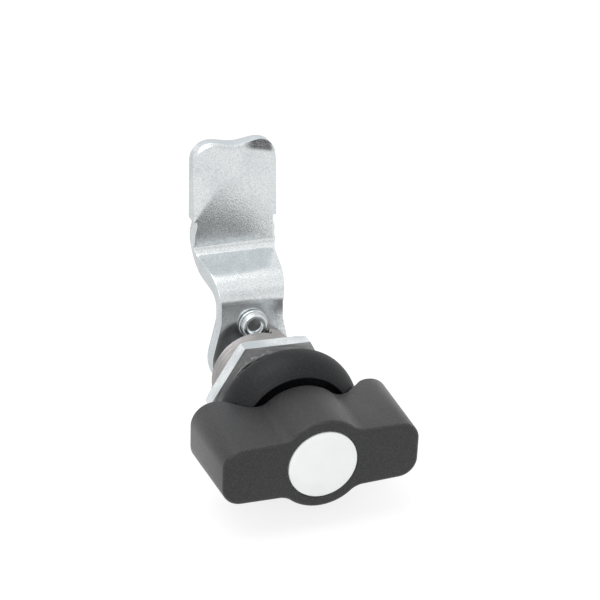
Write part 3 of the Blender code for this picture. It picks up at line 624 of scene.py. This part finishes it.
def thread_ribbon(bm, sizes, back_y, steps):
    """Helical thread, cut flat at both ends. Its flats and flanks are shares of the pitch.

    Returns its two rims.
    """
    crest = sizes.barrel_radius
    root = crest - sizes.thread_depth
    pitch = sizes.pitch
    start_y = sizes.thread_start - 2 * pitch
    flat = 0.125
    flank = 0.3125
    places = [
        (root, 0.0), (root, flat), (crest, flat + flank), (crest, 2 * flat + flank),
        (root, 2 * (flat + flank)), (root, 1.0)]
    row = [bm.verts.new((radius, start_y + at * pitch, 0.0)) for radius, at in places]
    for start, end in zip(row, row[1:]):
        bm.edges.new((start, end))
    turns = math.ceil((back_y - start_y) / pitch) + 1
    bmesh.ops.spin(
        bm, geom=bm.verts[:] + bm.edges[:], cent=(0, 0, 0), axis=(0, 1, 0), dvec=(0, pitch / steps, 0),
        angle=math.tau * turns, steps=steps * turns)
    bmesh.ops.remove_doubles(bm, verts=bm.verts[:], dist=MERGE)
    for place, direction in ((back_y, 1), (sizes.thread_start, -1)):
        bmesh.ops.bisect_plane(
            bm, geom=bm.verts[:] + bm.edges[:] + bm.faces[:], dist=MERGE / 10,
            plane_co=(0, place, 0), plane_no=(0, direction, 0), clear_outer=True)
    for vertex in bm.verts:
        allowed = crest - max(0.0, vertex.co.y - (back_y - sizes.end_chamfer))
        radius = math.hypot(vertex.co.x, vertex.co.z)
        if radius > allowed:
            vertex.co.x *= allowed / radius
            vertex.co.z *= allowed / radius
    return rim_edges(bm, sizes.thread_start), rim_edges(bm, back_y)


def dome_points(sizes, collar_radius, front_y, edge):
    """Collar's domed side, from its land to the front rim."""
    drop = -front_y - sizes.land - edge
    inset = collar_radius - sizes.rim_radius
    radius = (drop ** 2 + inset ** 2) / (2 * inset)
    top = math.asin(drop / radius)
    steps = 16
    points = []
    for i in range(steps + 1):
        angle = top * i / steps
        points.append((
            collar_radius - radius + radius * math.cos(angle),
            -sizes.land - edge - radius * math.sin(angle)))
    return points


class CAMLATCH_OT_housing(bpy.types.Operator):
    """Collar and threaded barrel in one piece, with the notch for the stop pin"""

    bl_idname = "cam_latch.housing"
    bl_label = "Housing"

    def execute(self, context):
        sizes = context.scene.latch_housing
        collar_radius = HOUSING_HIGH.x
        back_y = HOUSING_HIGH.y
        front_y = HOUSING_LOW.y
        edge = sizes.seat_round
        bm = bmesh.new()
        front_rim, back_rim = thread_ribbon(bm, sizes, back_y, context.scene.latch_finishes.facets)
        root = sizes.barrel_radius - sizes.thread_depth
        pocket = sizes.rim_radius - sizes.rim_wall
        lip = 0.00012
        inner_corner = 0.0002
        mouth = 0.0003
        outside = [
            (root, sizes.thread_start), (root, inner_corner), (root + inner_corner, 0.0),
            (collar_radius - edge, 0.0)]
        steps = 8
        for i in range(1, steps):
            angle = RIGHT_ANGLE * i / steps
            outside.append((collar_radius - edge + edge * math.sin(angle), edge * math.cos(angle) - edge))
        outside += dome_points(sizes, collar_radius, front_y, edge)[:-1]
        outside += [
            (sizes.rim_radius + lip / 2, front_y + lip), (sizes.rim_radius - lip, front_y),
            (pocket + lip, front_y), (pocket, front_y + lip), (pocket, front_y + sizes.pocket_depth),
            (sizes.flange_bore, front_y + sizes.pocket_depth), (sizes.flange_bore, sizes.flange_bore_end),
            (sizes.bore, sizes.flange_bore_end), (sizes.bore, back_y * 0.5)]
        inside = [(sizes.bore + mouth, back_y), (sizes.bore, back_y - mouth), (sizes.bore, back_y * 0.52)]
        front_end = sweep_rim(bm, front_rim, outside)
        back_end = sweep_rim(bm, back_rim, inside)
        bmesh.ops.bridge_loops(bm, edges=front_end + back_end)
        bmesh.ops.recalc_face_normals(bm, faces=bm.faces[:])
        housing = piece_from(bm, "threaded_housing")
        carve(housing, self.notch(sizes, back_y))
        hand_over(housing, coated_casting, FIXED, "housing")
        return {"FINISHED"}

    def notch(self, sizes, back_y):
        """Cutter for the sector that the stop pin runs in."""
        bm = bmesh.new()
        steps = 40
        first = RIGHT_ANGLE - sizes.notch_margin
        sweep = RIGHT_ANGLE + 2 * sizes.notch_margin
        inner = sizes.bore - OVERCUT
        outer = sizes.barrel_radius + OVERCUT
        floor_y = back_y - sizes.notch_depth
        past_y = back_y + OVERCUT
        corners = [(inner, floor_y), (outer, floor_y), (outer, past_y), (inner, past_y)]
        face = bm.faces.new([bm.verts.new((radius, y, 0.0)) for radius, y in corners])
        bmesh.ops.rotate(bm, verts=bm.verts[:], cent=(0, 0, 0), matrix=Matrix.Rotation(-first, 3, "Y"))
        bmesh.ops.spin(
            bm, geom=[face, *face.edges, *face.verts], cent=(0, 0, 0), axis=(0, -1, 0),
            angle=sweep, steps=steps)
        weld(bm)
        return piece_from(bm, "notch_cutter")


class CAMLATCH_OT_nut(bpy.types.Operator):
    """Thin panel nut, chamfered at the corners of its back face"""

    bl_idname = "cam_latch.nut"
    bl_label = "Panel nut"

    def execute(self, context):
        sizes = context.scene.latch_nut
        front = NUT_LOW.y
        back = NUT_HIGH.y
        nut = prism("panel_nut", 6, sizes.flats, sizes.facing, front, back)
        corner = corner_distance(6, sizes.flats) + OVERCUT
        depth = (corner - sizes.corner_radius) * math.tan(sizes.chamfer)
        envelope = turned("nut_envelope", [
            (0.0, back + OVERCUT), (sizes.corner_radius - OVERCUT, back + OVERCUT),
            (sizes.corner_radius, back), (corner, back - depth),
            (corner, front - OVERCUT), (0.0, front - OVERCUT)], steps=NUT_STEPS)
        carve(nut, envelope, "INTERSECT")
        slope = 0.8
        sink = sizes.countersink * slope
        mouth = sizes.bore + sizes.countersink + OVERCUT / slope
        carve(nut, turned("nut_bore", [
            (0.0, back + OVERCUT), (mouth, back + OVERCUT), (sizes.bore, back - sink),
            (sizes.bore, front + sink), (mouth, front - OVERCUT), (0.0, front - OVERCUT)], steps=NUT_STEPS))
        soften(nut, sizes.edge, 25)
        hand_over(nut, turned_zinc, FIXED, "mounting_nut")
        return {"FINISHED"}


class CAMLATCH_OT_knob(bpy.types.Operator):
    """Wing knob with a drafted outline and a bowl that clears the collar"""

    bl_idname = "cam_latch.knob"
    bl_label = "Wing knob"

    def execute(self, context):
        sizes = context.scene.latch_knob
        bm = bmesh.new()
        front = self.outline(bm, sizes, KNOB_LOW.y, 0.0)
        back = self.outline(bm, sizes, KNOB_HIGH.y, sizes.draft)
        bmesh.ops.bridge_loops(bm, edges=[*front.edges, *back.edges])
        bmesh.ops.recalc_face_normals(bm, faces=bm.faces[:])
        front = min(bm.faces, key=lambda face: face.calc_center_median().y)
        bmesh.ops.bevel(
            bm, geom=[*front.edges], offset=sizes.edge, offset_type="OFFSET", affect="EDGES",
            segments=6, profile=0.5, material=-1, clamp_overlap=True)
        knob = piece_from(bm, "knob")
        carve(knob, self.bowl(sizes))
        carve(knob, self.front_holes(sizes))
        carve(knob, prism("knob_socket", 4, sizes.socket, 0.0, sizes.web_back, sizes.boss_end + OVERCUT))
        soften(knob, sizes.small_edge, 38, 3)
        hand_over(knob, grained_plastic, TURNING, "wing_knob")
        return {"FINISHED"}

    def outline(self, bm, sizes, y, grow):
        """Face in the knob's front view: two wings and the hub, with every corner rounded."""
        root = sizes.root_half + grow
        end = sizes.end_half + grow
        hub = sizes.hub + grow
        fillet = sizes.fillet - grow
        reach = sizes.reach + grow
        angle = math.atan2(root + fillet, math.sqrt((hub + fillet) ** 2 - (root + fillet) ** 2))
        joint = (hub - root * math.sin(angle)) / math.cos(angle)
        top = hub / math.sin(angle)
        half = [(reach, end, sizes.corner + grow, 10), (joint, root, fillet, 8), (0.0, top, hub, 24),
                (-joint, root, fillet, 8), (-reach, end, sizes.corner + grow, 10)]
        corners = half + [(-x, -z, radius, steps) for x, z, radius, steps in half]
        made = [bm.verts.new((x, y, z)) for x, z, _, _ in corners]
        face = bm.faces.new(made)
        for vertex, (_, _, radius, steps) in zip(made, corners):
            round_corner(bm, vertex, radius, steps)
        return next(
            face for face in bm.faces if all(abs(vertex.co.y - y) < MERGE for vertex in face.verts))

    def bowl(self, sizes):
        """Cutter for the back of the knob."""
        behind = KNOB_HIGH.y + OVERCUT
        rim_y = KNOB_HIGH.y + 0.00001
        outside = 0.030
        return turned("knob_bowl", [
            (0.0, behind), (outside, behind), (outside, rim_y),
            (sizes.bowl_rim, rim_y, sizes.bowl_rim_round, 10),
            (sizes.bowl_foot, sizes.hub_back, sizes.bowl_foot_round, 8),
            (sizes.boss_radius, sizes.hub_back, 0.0004, 3), (sizes.boss_radius, sizes.boss_end),
            (0.0, sizes.boss_end)])

    def front_holes(self, sizes):
        """Cutter for the cap's recess, the screw's head and the screw."""
        mouth = 0.00015
        return turned("knob_holes", [
            (0.0, sizes.web_back + OVERCUT), (sizes.screw_hole, sizes.web_back + OVERCUT),
            (sizes.screw_hole, sizes.web_front), (sizes.screw_pocket, sizes.web_front),
            (sizes.screw_pocket, sizes.cap_pocket_floor), (sizes.cap_pocket, sizes.cap_pocket_floor),
            (sizes.cap_pocket, KNOB_LOW.y + mouth),
            (sizes.cap_pocket + mouth + OVERCUT, KNOB_LOW.y - OVERCUT),
            (0.0, KNOB_LOW.y - OVERCUT)])


class CAMLATCH_OT_cap(bpy.types.Operator):
    """Slightly domed cover cap"""

    bl_idname = "cam_latch.cap"
    bl_label = "Cover cap"

    def execute(self, context):
        sizes = context.scene.latch_knob
        back = CAP_HIGH.y
        tip = CAP_LOW.y
        rise = sizes.cap_rise
        radius = sizes.cap_radius
        wall = 0.0013
        spigot = 0.001
        steps = 12
        dome = (radius ** 2 + rise ** 2) / (2 * rise)
        reach = math.asin(radius / dome)
        points = [
            (0.0, back - spigot), (radius - wall, back - spigot), (radius - wall, back), (radius, back),
            (radius, tip + rise, sizes.cap_edge, 4)]
        for i in range(1, steps):
            angle = reach * (1 - i / steps)
            points.append((dome * math.sin(angle), tip + dome * (1 - math.cos(angle))))
        points.append((0.0, tip))
        cap = turned("knob_cap", points, steps=CAP_STEPS)
        hand_over(cap, cap_plastic, TURNING, "cover_cap")
        return {"FINISHED"}


class CAMLATCH_OT_arm(bpy.types.Operator):
    """Cranked arm: a bent steel plate with a pressed nose"""

    bl_idname = "cam_latch.arm"
    bl_label = "Latch arm"

    columns = 36
    lower_bend_steps = 18
    upper_bend_steps = 14
    shelf_steps = 12
    nose_steps = (28, 4, 18)
    corner_steps = 8
    foot_steps = 44
    bulge_start = 5 / 6

    def execute(self, context):
        sizes = context.scene.latch_arm
        faces = [self.crank_rows(sizes, back) + self.nose_rows(sizes, back) for back in (False, True)]
        rows = len(faces[0])
        bm = bmesh.new()
        bmesh.ops.create_grid(bm, x_segments=self.columns, y_segments=rows - 1, size=1.0)
        row = bm.verts.layers.int.new("row")
        column = bm.verts.layers.int.new("column")
        behind = bm.verts.layers.int.new("behind")
        for vertex in bm.verts:
            vertex[row] = 1 + round((vertex.co.y + 1) / 2 * (rows - 1))
            vertex[column] = round((vertex.co.x + 1) / 2 * self.columns)
            vertex.co = faces[0][vertex[row] - 1][vertex[column]]
        self.foot(bm, sizes, [vertex for vertex in bm.verts if vertex[row] == 1])

        swept = bmesh.ops.extrude_face_region(bm, geom=bm.faces[:])
        for vertex in (part for part in swept["geom"] if isinstance(part, bmesh.types.BMVert)):
            vertex[behind] = 1
            if vertex[row]:
                vertex.co = faces[1][vertex[row] - 1][vertex[column]]
            else:
                vertex.co.y += sizes.thickness
        bmesh.ops.recalc_face_normals(bm, faces=bm.faces[:])
        walls = [face for face in bm.faces if len({vertex[behind] for vertex in face.verts}) == 2]
        rims = {
            edge for face in walls for edge in face.edges
            if edge.verts[0][behind] == edge.verts[1][behind]}
        bmesh.ops.bevel(
            bm, geom=list(rims), offset=sizes.edge, offset_type="OFFSET", affect="EDGES",
            segments=3, profile=0.5, material=-1, clamp_overlap=True)
        arm = piece_from(bm, "arm")

        front = ARM_FRONT - OVERCUT
        back = ARM_FRONT + sizes.thickness + OVERCUT
        carve(arm, prism("square_hole", 4, sizes.square, 0.0, front, back))
        hole = turned("pin_hole", [
            (0.0, back), (sizes.pin_hole, back), (sizes.pin_hole, front), (0.0, front)], steps=SMALL_STEPS)
        hole.data.transform(Matrix.Translation((0.0, 0.0, context.scene.latch_fasteners.pin_height)))
        carve(arm, hole)
        hand_over(arm, plated_steel, TURNING, "latch_arm")
        return {"FINISHED"}

    def foot(self, bm, sizes, first_row):
        """Flat plate below the lower bend: the neck, its tapering sides and the round foot."""
        rise = sizes.shoulder - sizes.foot_height
        slant = math.hypot(rise, sizes.neck_half)
        taper = math.atan2(rise, sizes.neck_half) - math.acos(sizes.foot_radius / slant)
        center = Vector((0.0, ARM_FRONT, sizes.foot_height))
        start = center + sizes.foot_radius * Vector((math.cos(taper), 0.0, math.sin(taper)))
        bmesh.ops.spin(
            bm, geom=[bm.verts.new(start)], cent=center, axis=(0, 1, 0), angle=math.pi + 2 * taper,
            steps=self.foot_steps)
        bmesh.ops.remove_doubles(bm, verts=bm.verts[:], dist=MERGE)
        for side in (1, -1):
            bm.verts.new((side * sizes.neck_half, ARM_FRONT, sizes.shoulder))
        row = bm.verts.layers.int["row"]

        def clockwise(vertex):
            return (RIGHT_ANGLE - math.atan2(vertex.co.z - center.z, vertex.co.x)) % math.tau

        below = sorted((vertex for vertex in bm.verts if vertex[row] == 0), key=clockwise)
        bm.faces.new(sorted(first_row, key=lambda vertex: vertex.co.x) + below)

    def across(self, half_width):
        return [half_width * (2 * i / self.columns - 1) for i in range(self.columns + 1)]

    def bend(self, before, corner, after, radius, steps):
        """Arc that bends the path at a corner."""
        corner = Vector(corner)
        back = (Vector(before) - corner).normalized()
        ahead = (Vector(after) - corner).normalized()
        half = back.angle(ahead) / 2
        center = corner + (back + ahead).normalized() * (radius / math.sin(half))
        start = corner + back * (radius / math.tan(half)) - center
        sweep = start.angle_signed(corner + ahead * (radius / math.tan(half)) - center)
        first = math.atan2(start.y, start.x)
        return [
            (center.x + radius * math.cos(first - sweep * i / steps),
             center.y + radius * math.sin(first - sweep * i / steps)) for i in range(steps + 1)]

    def crank_path(self, sizes, back):
        """Side view of one face from the lower bend to the upper one, as (y, z) points."""
        foot = Vector((ARM_FRONT, sizes.shelf_foot))
        top = Vector((ARM_FRONT + sizes.offset, sizes.shelf_top))
        radii = (sizes.lower_bend, sizes.upper_bend)
        if back:
            along = (top - foot).normalized()
            under = foot + Vector((along.y, -along.x)) * sizes.shelf_thickness
            foot, top = [
                under + along * ((corner.x + sizes.thickness - under.x) / along.x) for corner in (foot, top)]
            radii = (sizes.lower_bend_back, sizes.upper_bend_back)
        lower = self.bend((foot.x, 0.0), foot, top, radii[0], self.lower_bend_steps)
        upper = self.bend(foot, top, (top.x, sizes.reach), radii[1], self.upper_bend_steps)
        shelf = [
            tuple(Vector(lower[-1]).lerp(Vector(upper[0]), i / self.shelf_steps))
            for i in range(1, self.shelf_steps)]
        return lower + shelf + upper

    def crank_rows(self, sizes, back):
        """Rows along the crank, which widens evenly from the neck to the nose."""
        path = [Vector(point) for point in self.crank_path(sizes, back)]
        reached = [0.0]
        for start, end in zip(path, path[1:]):
            reached.append(reached[-1] + (end - start).length)
        rows = []
        for point, distance in zip(path, reached):
            grown = distance / reached[-1]
            half = sizes.neck_half + (sizes.nose_foot_half - sizes.neck_half) * grown
            if not back:
                half += sizes.bend_bulge * max(0.0, (grown - self.bulge_start) / (1 - self.bulge_start))
            rows.append([(x, point.x, point.y) for x in self.across(half)])
        return rows

    def press_line(self, sizes, x):
        """Height of the pressed line, which falls in a bow from the centre line to both sides."""
        return sizes.press_top - sizes.press_drop * (abs(x) / sizes.nose_half) ** sizes.press_bow

    def end_line(self, sizes, x):
        """Height of the nose's end, which dips on the centre line and has round corners."""
        corner_x = sizes.nose_half - sizes.nose_corner
        t = min(1.0, abs(x) / corner_x)
        height = sizes.reach - sizes.end_dip * (1 - t * t * (3 - 2 * t))
        over = max(0.0, abs(x) - corner_x)
        return height - sizes.nose_corner + math.sqrt(max(0.0, sizes.nose_corner ** 2 - over ** 2))

    def nose_point(self, sizes, back, x, z):
        y = ARM_FRONT + sizes.offset
        if back:
            return (x, y + sizes.thickness, z)
        above = z - self.press_line(sizes, x)
        ramp = (sizes.press_slope + sizes.nose_lean) * (above + math.hypot(above, sizes.press_round)) / 2
        lean = sizes.nose_lean * (z - sizes.shelf_top)
        rolled = max(0.0, 1 - (self.end_line(sizes, x) - z) / sizes.roll_reach)
        return (x, y - lean + ramp + sizes.roll * rolled ** 2, z)

    def nose_half(self, sizes, back, z):
        """Half width of the nose with its relief notch. Above it the pressing has spread the plate."""
        off = min(1.0, abs(z - sizes.relief_height) / sizes.relief_span)
        half = sizes.nose_half if z > sizes.relief_height else sizes.nose_foot_half
        notch = (half - sizes.nose_foot_half + sizes.relief_depth) * math.cos(RIGHT_ANGLE * off)
        swell = 0.0 if back else max(0.0, 1 - (z - sizes.shelf_top) / sizes.relief_span / 2)
        return half - notch + sizes.bend_bulge * swell

    def nose_rows(self, sizes, back):
        """Rows from the upper bend to the nose's end. Those in the middle follow the pressed line."""
        start_z = self.crank_path(sizes, back)[-1][1]
        corner_z = sizes.reach - sizes.nose_corner
        soft = sizes.press_round

        def below(x, t):
            return start_z + (self.press_line(sizes, x) - soft - start_z) * t

        def along(x, t):
            return self.press_line(sizes, x) + soft * (2 * t - 1)

        def above(x, t):
            return self.press_line(sizes, x) + soft + (corner_z - self.press_line(sizes, x) - soft) * t

        rows = []
        for height, steps in zip((below, along, above), self.nose_steps):
            for i in range(1, steps + 1):
                t = i / steps
                half = self.nose_half(sizes, back, height(sizes.nose_half, t))
                rows.append([self.nose_point(sizes, back, x, height(x, t)) for x in self.across(half)])
        corner_x = sizes.nose_half - sizes.nose_corner
        last = RIGHT_ANGLE / 2
        last_half = corner_x + sizes.nose_corner * math.cos(last)
        for i in range(1, self.corner_steps + 1):
            angle = last * i / self.corner_steps
            half = corner_x + sizes.nose_corner * math.cos(angle)
            lift = math.sin(angle) / math.sin(last)
            rows.append([
                self.nose_point(sizes, back, x, corner_z + (
                    self.end_line(sizes, x * last_half / half) - corner_z) * lift)
                for x in self.across(half)])
        return rows


class CAMLATCH_OT_stop_pin(bpy.types.Operator):
    """Stop pin with a collar, a hollow nose and a riveted head"""

    bl_idname = "cam_latch.stop_pin"
    bl_label = "Stop pin"

    def execute(self, context):
        sizes = context.scene.latch_fasteners
        front = PIN_LOW.y
        back = PIN_HIGH.y
        collar = (PIN_HIGH.x - PIN_LOW.x) / 2
        gap = 0.0003
        seat = ARM_FRONT - gap
        arm_back = ARM_FRONT + context.scene.latch_arm.thickness + gap
        shank = sizes.pin_shank
        nose = sizes.pin_nose
        collar_front = seat - sizes.pin_collar
        hollow = front + sizes.pin_hollow_depth
        pin = turned("stop_pin_turned", [
            (0.0, back), (shank, back, 0.0003, 3), (nose, back - 0.0003, 0.0002, 3),
            (nose, arm_back), (shank, arm_back), (shank, seat),
            (collar, seat, 0.00012, 2), (collar, collar_front, 0.00018, 3), (nose, collar_front, 0.0001, 2),
            (nose, front, 0.00055, 5), (sizes.pin_hollow, front, 0.00015, 3),
            (sizes.pin_hollow - 0.0003, hollow - 0.0001, 0.0002, 3), (0.0, hollow)], steps=PIN_STEPS)
        pin.data.transform(Matrix.Translation((0.0, 0.0, sizes.pin_height)))
        hand_over(pin, turned_zinc, TURNING, "stop_pin")
        return {"FINISHED"}


class CAMLATCH_OT_bolt(bpy.types.Operator):
    """Hexagon screw behind the arm, with its flat washer and its spring washer"""

    bl_idname = "cam_latch.bolt"
    bl_label = "Arm screw and washers"

    def execute(self, context):
        sizes = context.scene.latch_fasteners
        seat = SPRING_HIGH.y + 0.0003
        back = BOLT_HIGH.y
        tip = BOLT_LOW.y
        flats = sizes.bolt_flats
        bolt = prism("arm_bolt", 6, flats, 0.0, seat, back)
        corner = corner_distance(6, flats) + OVERCUT
        rim = flats * 0.475
        slope = math.tan(sizes.bolt_chamfer)
        envelope = turned("bolt_envelope", [
            (0.0, back), (rim, back), (corner, back - (corner - rim) * slope), (corner, seat), (0.0, seat)])
        carve(bolt, envelope, "INTERSECT")
        dish = back - sizes.bolt_dish
        dish_top, dish_rim, dish_floor = (rim * part for part in (0.82, 0.78, 0.62))
        carve(bolt, turned("bolt_dish", [
            (0.0, back + OVERCUT), (dish_top, back + OVERCUT), (dish_rim, back, 0.0002, 3),
            (dish_floor, dish, 0.0004, 3), (0.0, dish)]))
        radius = sizes.bolt_radius
        shank = turned("bolt_shank", [
            (0.0, seat + OVERCUT), (radius, seat + OVERCUT), (radius, tip, 0.0004, 2), (0.0, tip)],
            steps=SMALL_STEPS)
        carve(bolt, shank, "UNION")
        soften(bolt, sizes.bolt_edge, 24)
        hand_over(bolt, turned_zinc, TURNING, "arm_screw")

        outer = (WASHER_HIGH.x - WASHER_LOW.x) / 2
        hole = sizes.washer_hole
        washer = turned("bolt_washer", [
            (outer, WASHER_HIGH.y, 0.00025, 3), (outer, WASHER_LOW.y, 0.0001, 2),
            (hole, WASHER_LOW.y, 0.0001, 2), (hole, WASHER_HIGH.y, 0.0001, 2)], closed=True)
        hand_over(washer, turned_zinc, TURNING, "arm_washer")

        self.spring_washer(sizes)
        return {"FINISHED"}

    def spring_washer(self, sizes):
        """Open ring of square wire that rises a little from one end to the other."""
        outer = (SPRING_HIGH.x - SPRING_LOW.x) / 2
        inner = sizes.washer_hole
        lift = 0.0001
        low = SPRING_LOW.y
        high = SPRING_HIGH.y - lift
        corner = 0.00012
        bm = bmesh.new()
        wire = [(outer, high), (outer, low), (inner, low), (inner, high)]
        profile_edges(bm, [(radius, y, corner, 2) for radius, y in wire], closed=True)
        face = bm.faces.new(self.in_order(bm))
        bmesh.ops.rotate(
            bm, verts=bm.verts[:], cent=(0, 0, 0), matrix=Matrix.Rotation(sizes.split / 2, 3, "Y"))
        steps = 90
        bmesh.ops.spin(
            bm, geom=[face, *face.edges, *face.verts], cent=(0, 0, 0), axis=(0, 1, 0),
            dvec=(0, lift / steps, 0), angle=math.tau - sizes.split, steps=steps)
        weld(bm)
        ring = piece_from(bm, "bolt_spring_washer")
        hand_over(ring, turned_zinc, TURNING, "arm_lock_washer")

    def in_order(self, bm):
        """Vertices of the one closed chain, in order."""
        first = bm.verts[:][0]
        chain = [first]
        edge = first.link_edges[0]
        while True:
            vertex = edge.other_vert(chain[-1])
            if vertex is first:
                return chain
            chain.append(vertex)
            edge = next(other for other in vertex.link_edges if other is not edge)


class CAMLATCH_OT_inner_parts(bpy.types.Operator):
    """Materials for the hidden pieces, which keep their CAD shapes"""

    bl_idname = "cam_latch.inner_parts"
    bl_label = "Inner parts"

    def execute(self, context):
        for name, make in (
                ("spindle", turned_zinc), ("knob_screw", turned_zinc), ("knob_lock_washer", turned_zinc),
                ("shaft_seal", seal_rubber)):
            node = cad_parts[name]
            node.data.materials.clear()
            node.data.materials.append(finished(make))
        return {"FINISHED"}


class CAMLATCH_OT_studio(bpy.types.Operator):
    """Pale floor, even light, two lamps and the camera"""

    bl_idname = "cam_latch.studio"
    bl_label = "Studio"

    def execute(self, context):
        settings = context.scene.latch_studio
        self.sky(context.scene, settings)
        self.floor(settings)
        self.lamp("key_lamp", KEY_PLACE, settings.key_size, settings.key)
        self.lamp("front_lamp", FILL_PLACE, settings.fill_size, settings.fill)
        self.camera(context.scene, settings)
        context.scene.view_settings.view_transform = "Standard"
        return {"FINISHED"}

    def sky(self, scene, settings):
        """Even light, and a white backdrop for the camera and for metal, darker low behind the camera."""
        world = bpy.data.worlds.new("studio_sky")
        world.use_nodes = True
        graph = Graph(world.node_tree)
        background = graph.tree.nodes["Background"]
        direction = graph.node("ShaderNodeTexCoord", output="Generated")
        toward = graph.node("ShaderNodeSeparateXYZ", inputs={0: direction}, output="Y") * -1.0
        height = graph.node("ShaderNodeSeparateXYZ", inputs={0: direction}, output="Z")
        band = height.between(0.02, 0.12) * (1.0 - height.between(0.45, 0.60))
        room = 1.0 - toward.between(0.35, 0.85) * band * settings.dark_side
        mirrored = graph.ray("Glossy", "Transmission")
        lit = mirrored * room + (1.0 - mirrored) * settings.sky
        camera = graph.ray("Camera")
        graph.feed(background.inputs["Color"], (1.0, 1.0, 1.0))
        graph.feed(background.inputs["Strength"], camera + (1.0 - camera) * lit)
        scene.world = world

    def floor(self, settings):
        """Large floor just under the collar, lifted to white where it is seen. It keeps a soft shadow."""
        finishes = bpy.context.scene.latch_finishes
        bm = bmesh.new()
        bmesh.ops.create_grid(bm, x_segments=1, y_segments=1, size=FLOOR_HALF)
        bmesh.ops.translate(bm, verts=bm.verts[:], vec=(0, 0, CAD_BOX[0].z - FLOOR_GAP))
        floor = piece_from(bm, "floor")
        finish = Finish("floor_white")
        camera = finish.ray("Camera")
        mirrored = finish.ray("Glossy", "Transmission")
        shade = (settings.floor_shade,) * 3
        lift = camera * settings.floor_lift + mirrored * settings.floor_mirrored
        finish.set(
            base_color=finish.blend((camera + mirrored).clamped(), finishes.floor, shade),
            emission_color=finish.blend(lift, (0.0, 0.0, 0.0), (1.0, 1.0, 1.0)),
            roughness=0.9, metallic=0.0)
        finish.shader.inputs["Emission Strength"].default_value = 1.0
        finish.shader.inputs["Specular IOR Level"].default_value = 0.0
        floor.data.materials.append(finish.material)

    def lamp(self, name, place, size, power):
        light = bpy.data.lights.new(name, "AREA")
        light.shape = "DISK"
        light.size = size
        light.energy = power
        lamp = bpy.data.objects.new(name, light)
        lamp.location = place
        lamp.rotation_mode = "QUATERNION"
        lamp.rotation_quaternion = Vector(place).to_track_quat("Z", "Y")
        bpy.context.scene.collection.objects.link(lamp)

    def camera(self, scene, settings):
        """Camera at the photograph's angle."""
        azimuth = settings.azimuth
        elevation = settings.elevation
        back = Vector((
            math.sin(azimuth) * math.cos(elevation),
            -math.cos(azimuth) * math.cos(elevation),
            math.sin(elevation)))
        right = Vector((math.cos(azimuth), math.sin(azimuth), 0.0))
        up = back.cross(right)
        rolled_right = right * math.cos(settings.roll) + up * math.sin(settings.roll)
        rolled_up = up * math.cos(settings.roll) - right * math.sin(settings.roll)
        turned_axes = Matrix((rolled_right, rolled_up, back)).transposed()
        data = bpy.data.cameras.new("photo_camera")
        data.sensor_width = 36.0
        data.lens = PHOTO_FOCAL * data.sensor_width
        data.clip_start = 0.01
        data.clip_end = 20.0
        camera = bpy.data.objects.new("photo_camera", data)
        camera.matrix_world = Matrix.Translation(CAMERA_PLACE) @ turned_axes.to_4x4()
        scene.collection.objects.link(camera)
        scene.camera = camera


GROUPS = {
    "latch_housing": HousingSizes,
    "latch_nut": NutSizes,
    "latch_knob": KnobSizes,
    "latch_arm": ArmSizes,
    "latch_fasteners": FastenerSizes,
    "latch_finishes": Finishes,
    "latch_studio": StudioSettings,
}
STEPS = (
    CAMLATCH_OT_housing,
    CAMLATCH_OT_nut,
    CAMLATCH_OT_knob,
    CAMLATCH_OT_cap,
    CAMLATCH_OT_arm,
    CAMLATCH_OT_stop_pin,
    CAMLATCH_OT_bolt,
    CAMLATCH_OT_inner_parts,
    CAMLATCH_OT_studio,
)


class CAMLATCH_PT_panel(bpy.types.Panel):
    """Sizes, finishes and steps of the latch"""

    bl_idname = "CAMLATCH_PT_panel"
    bl_label = "Cam latch"
    bl_space_type = "VIEW_3D"
    bl_region_type = "UI"
    bl_category = "Cam latch"

    def draw(self, context):
        layout = self.layout
        for step in STEPS:
            layout.operator(step.bl_idname)
        for name, group in GROUPS.items():
            box = layout.box()
            box.label(text=group.__name__)
            for key in group.__annotations__:
                box.prop(getattr(context.scene, name), key)


def register():
    for group in GROUPS.values():
        bpy.utils.register_class(group)
    for name, group in GROUPS.items():
        setattr(bpy.types.Scene, name, PointerProperty(type=group))
    for step in STEPS:
        bpy.utils.register_class(step)
    bpy.utils.register_class(CAMLATCH_PT_panel)


def unregister():
    bpy.utils.unregister_class(CAMLATCH_PT_panel)
    for step in reversed(STEPS):
        bpy.utils.unregister_class(step)
    for name, group in reversed(list(GROUPS.items())):
        delattr(bpy.types.Scene, name)
        bpy.utils.unregister_class(group)


def main():
    register()
    for step in STEPS:
        group, name = step.bl_idname.split(".")
        getattr(getattr(bpy.ops, group), name)()


if __name__ == "__main__":
    main()
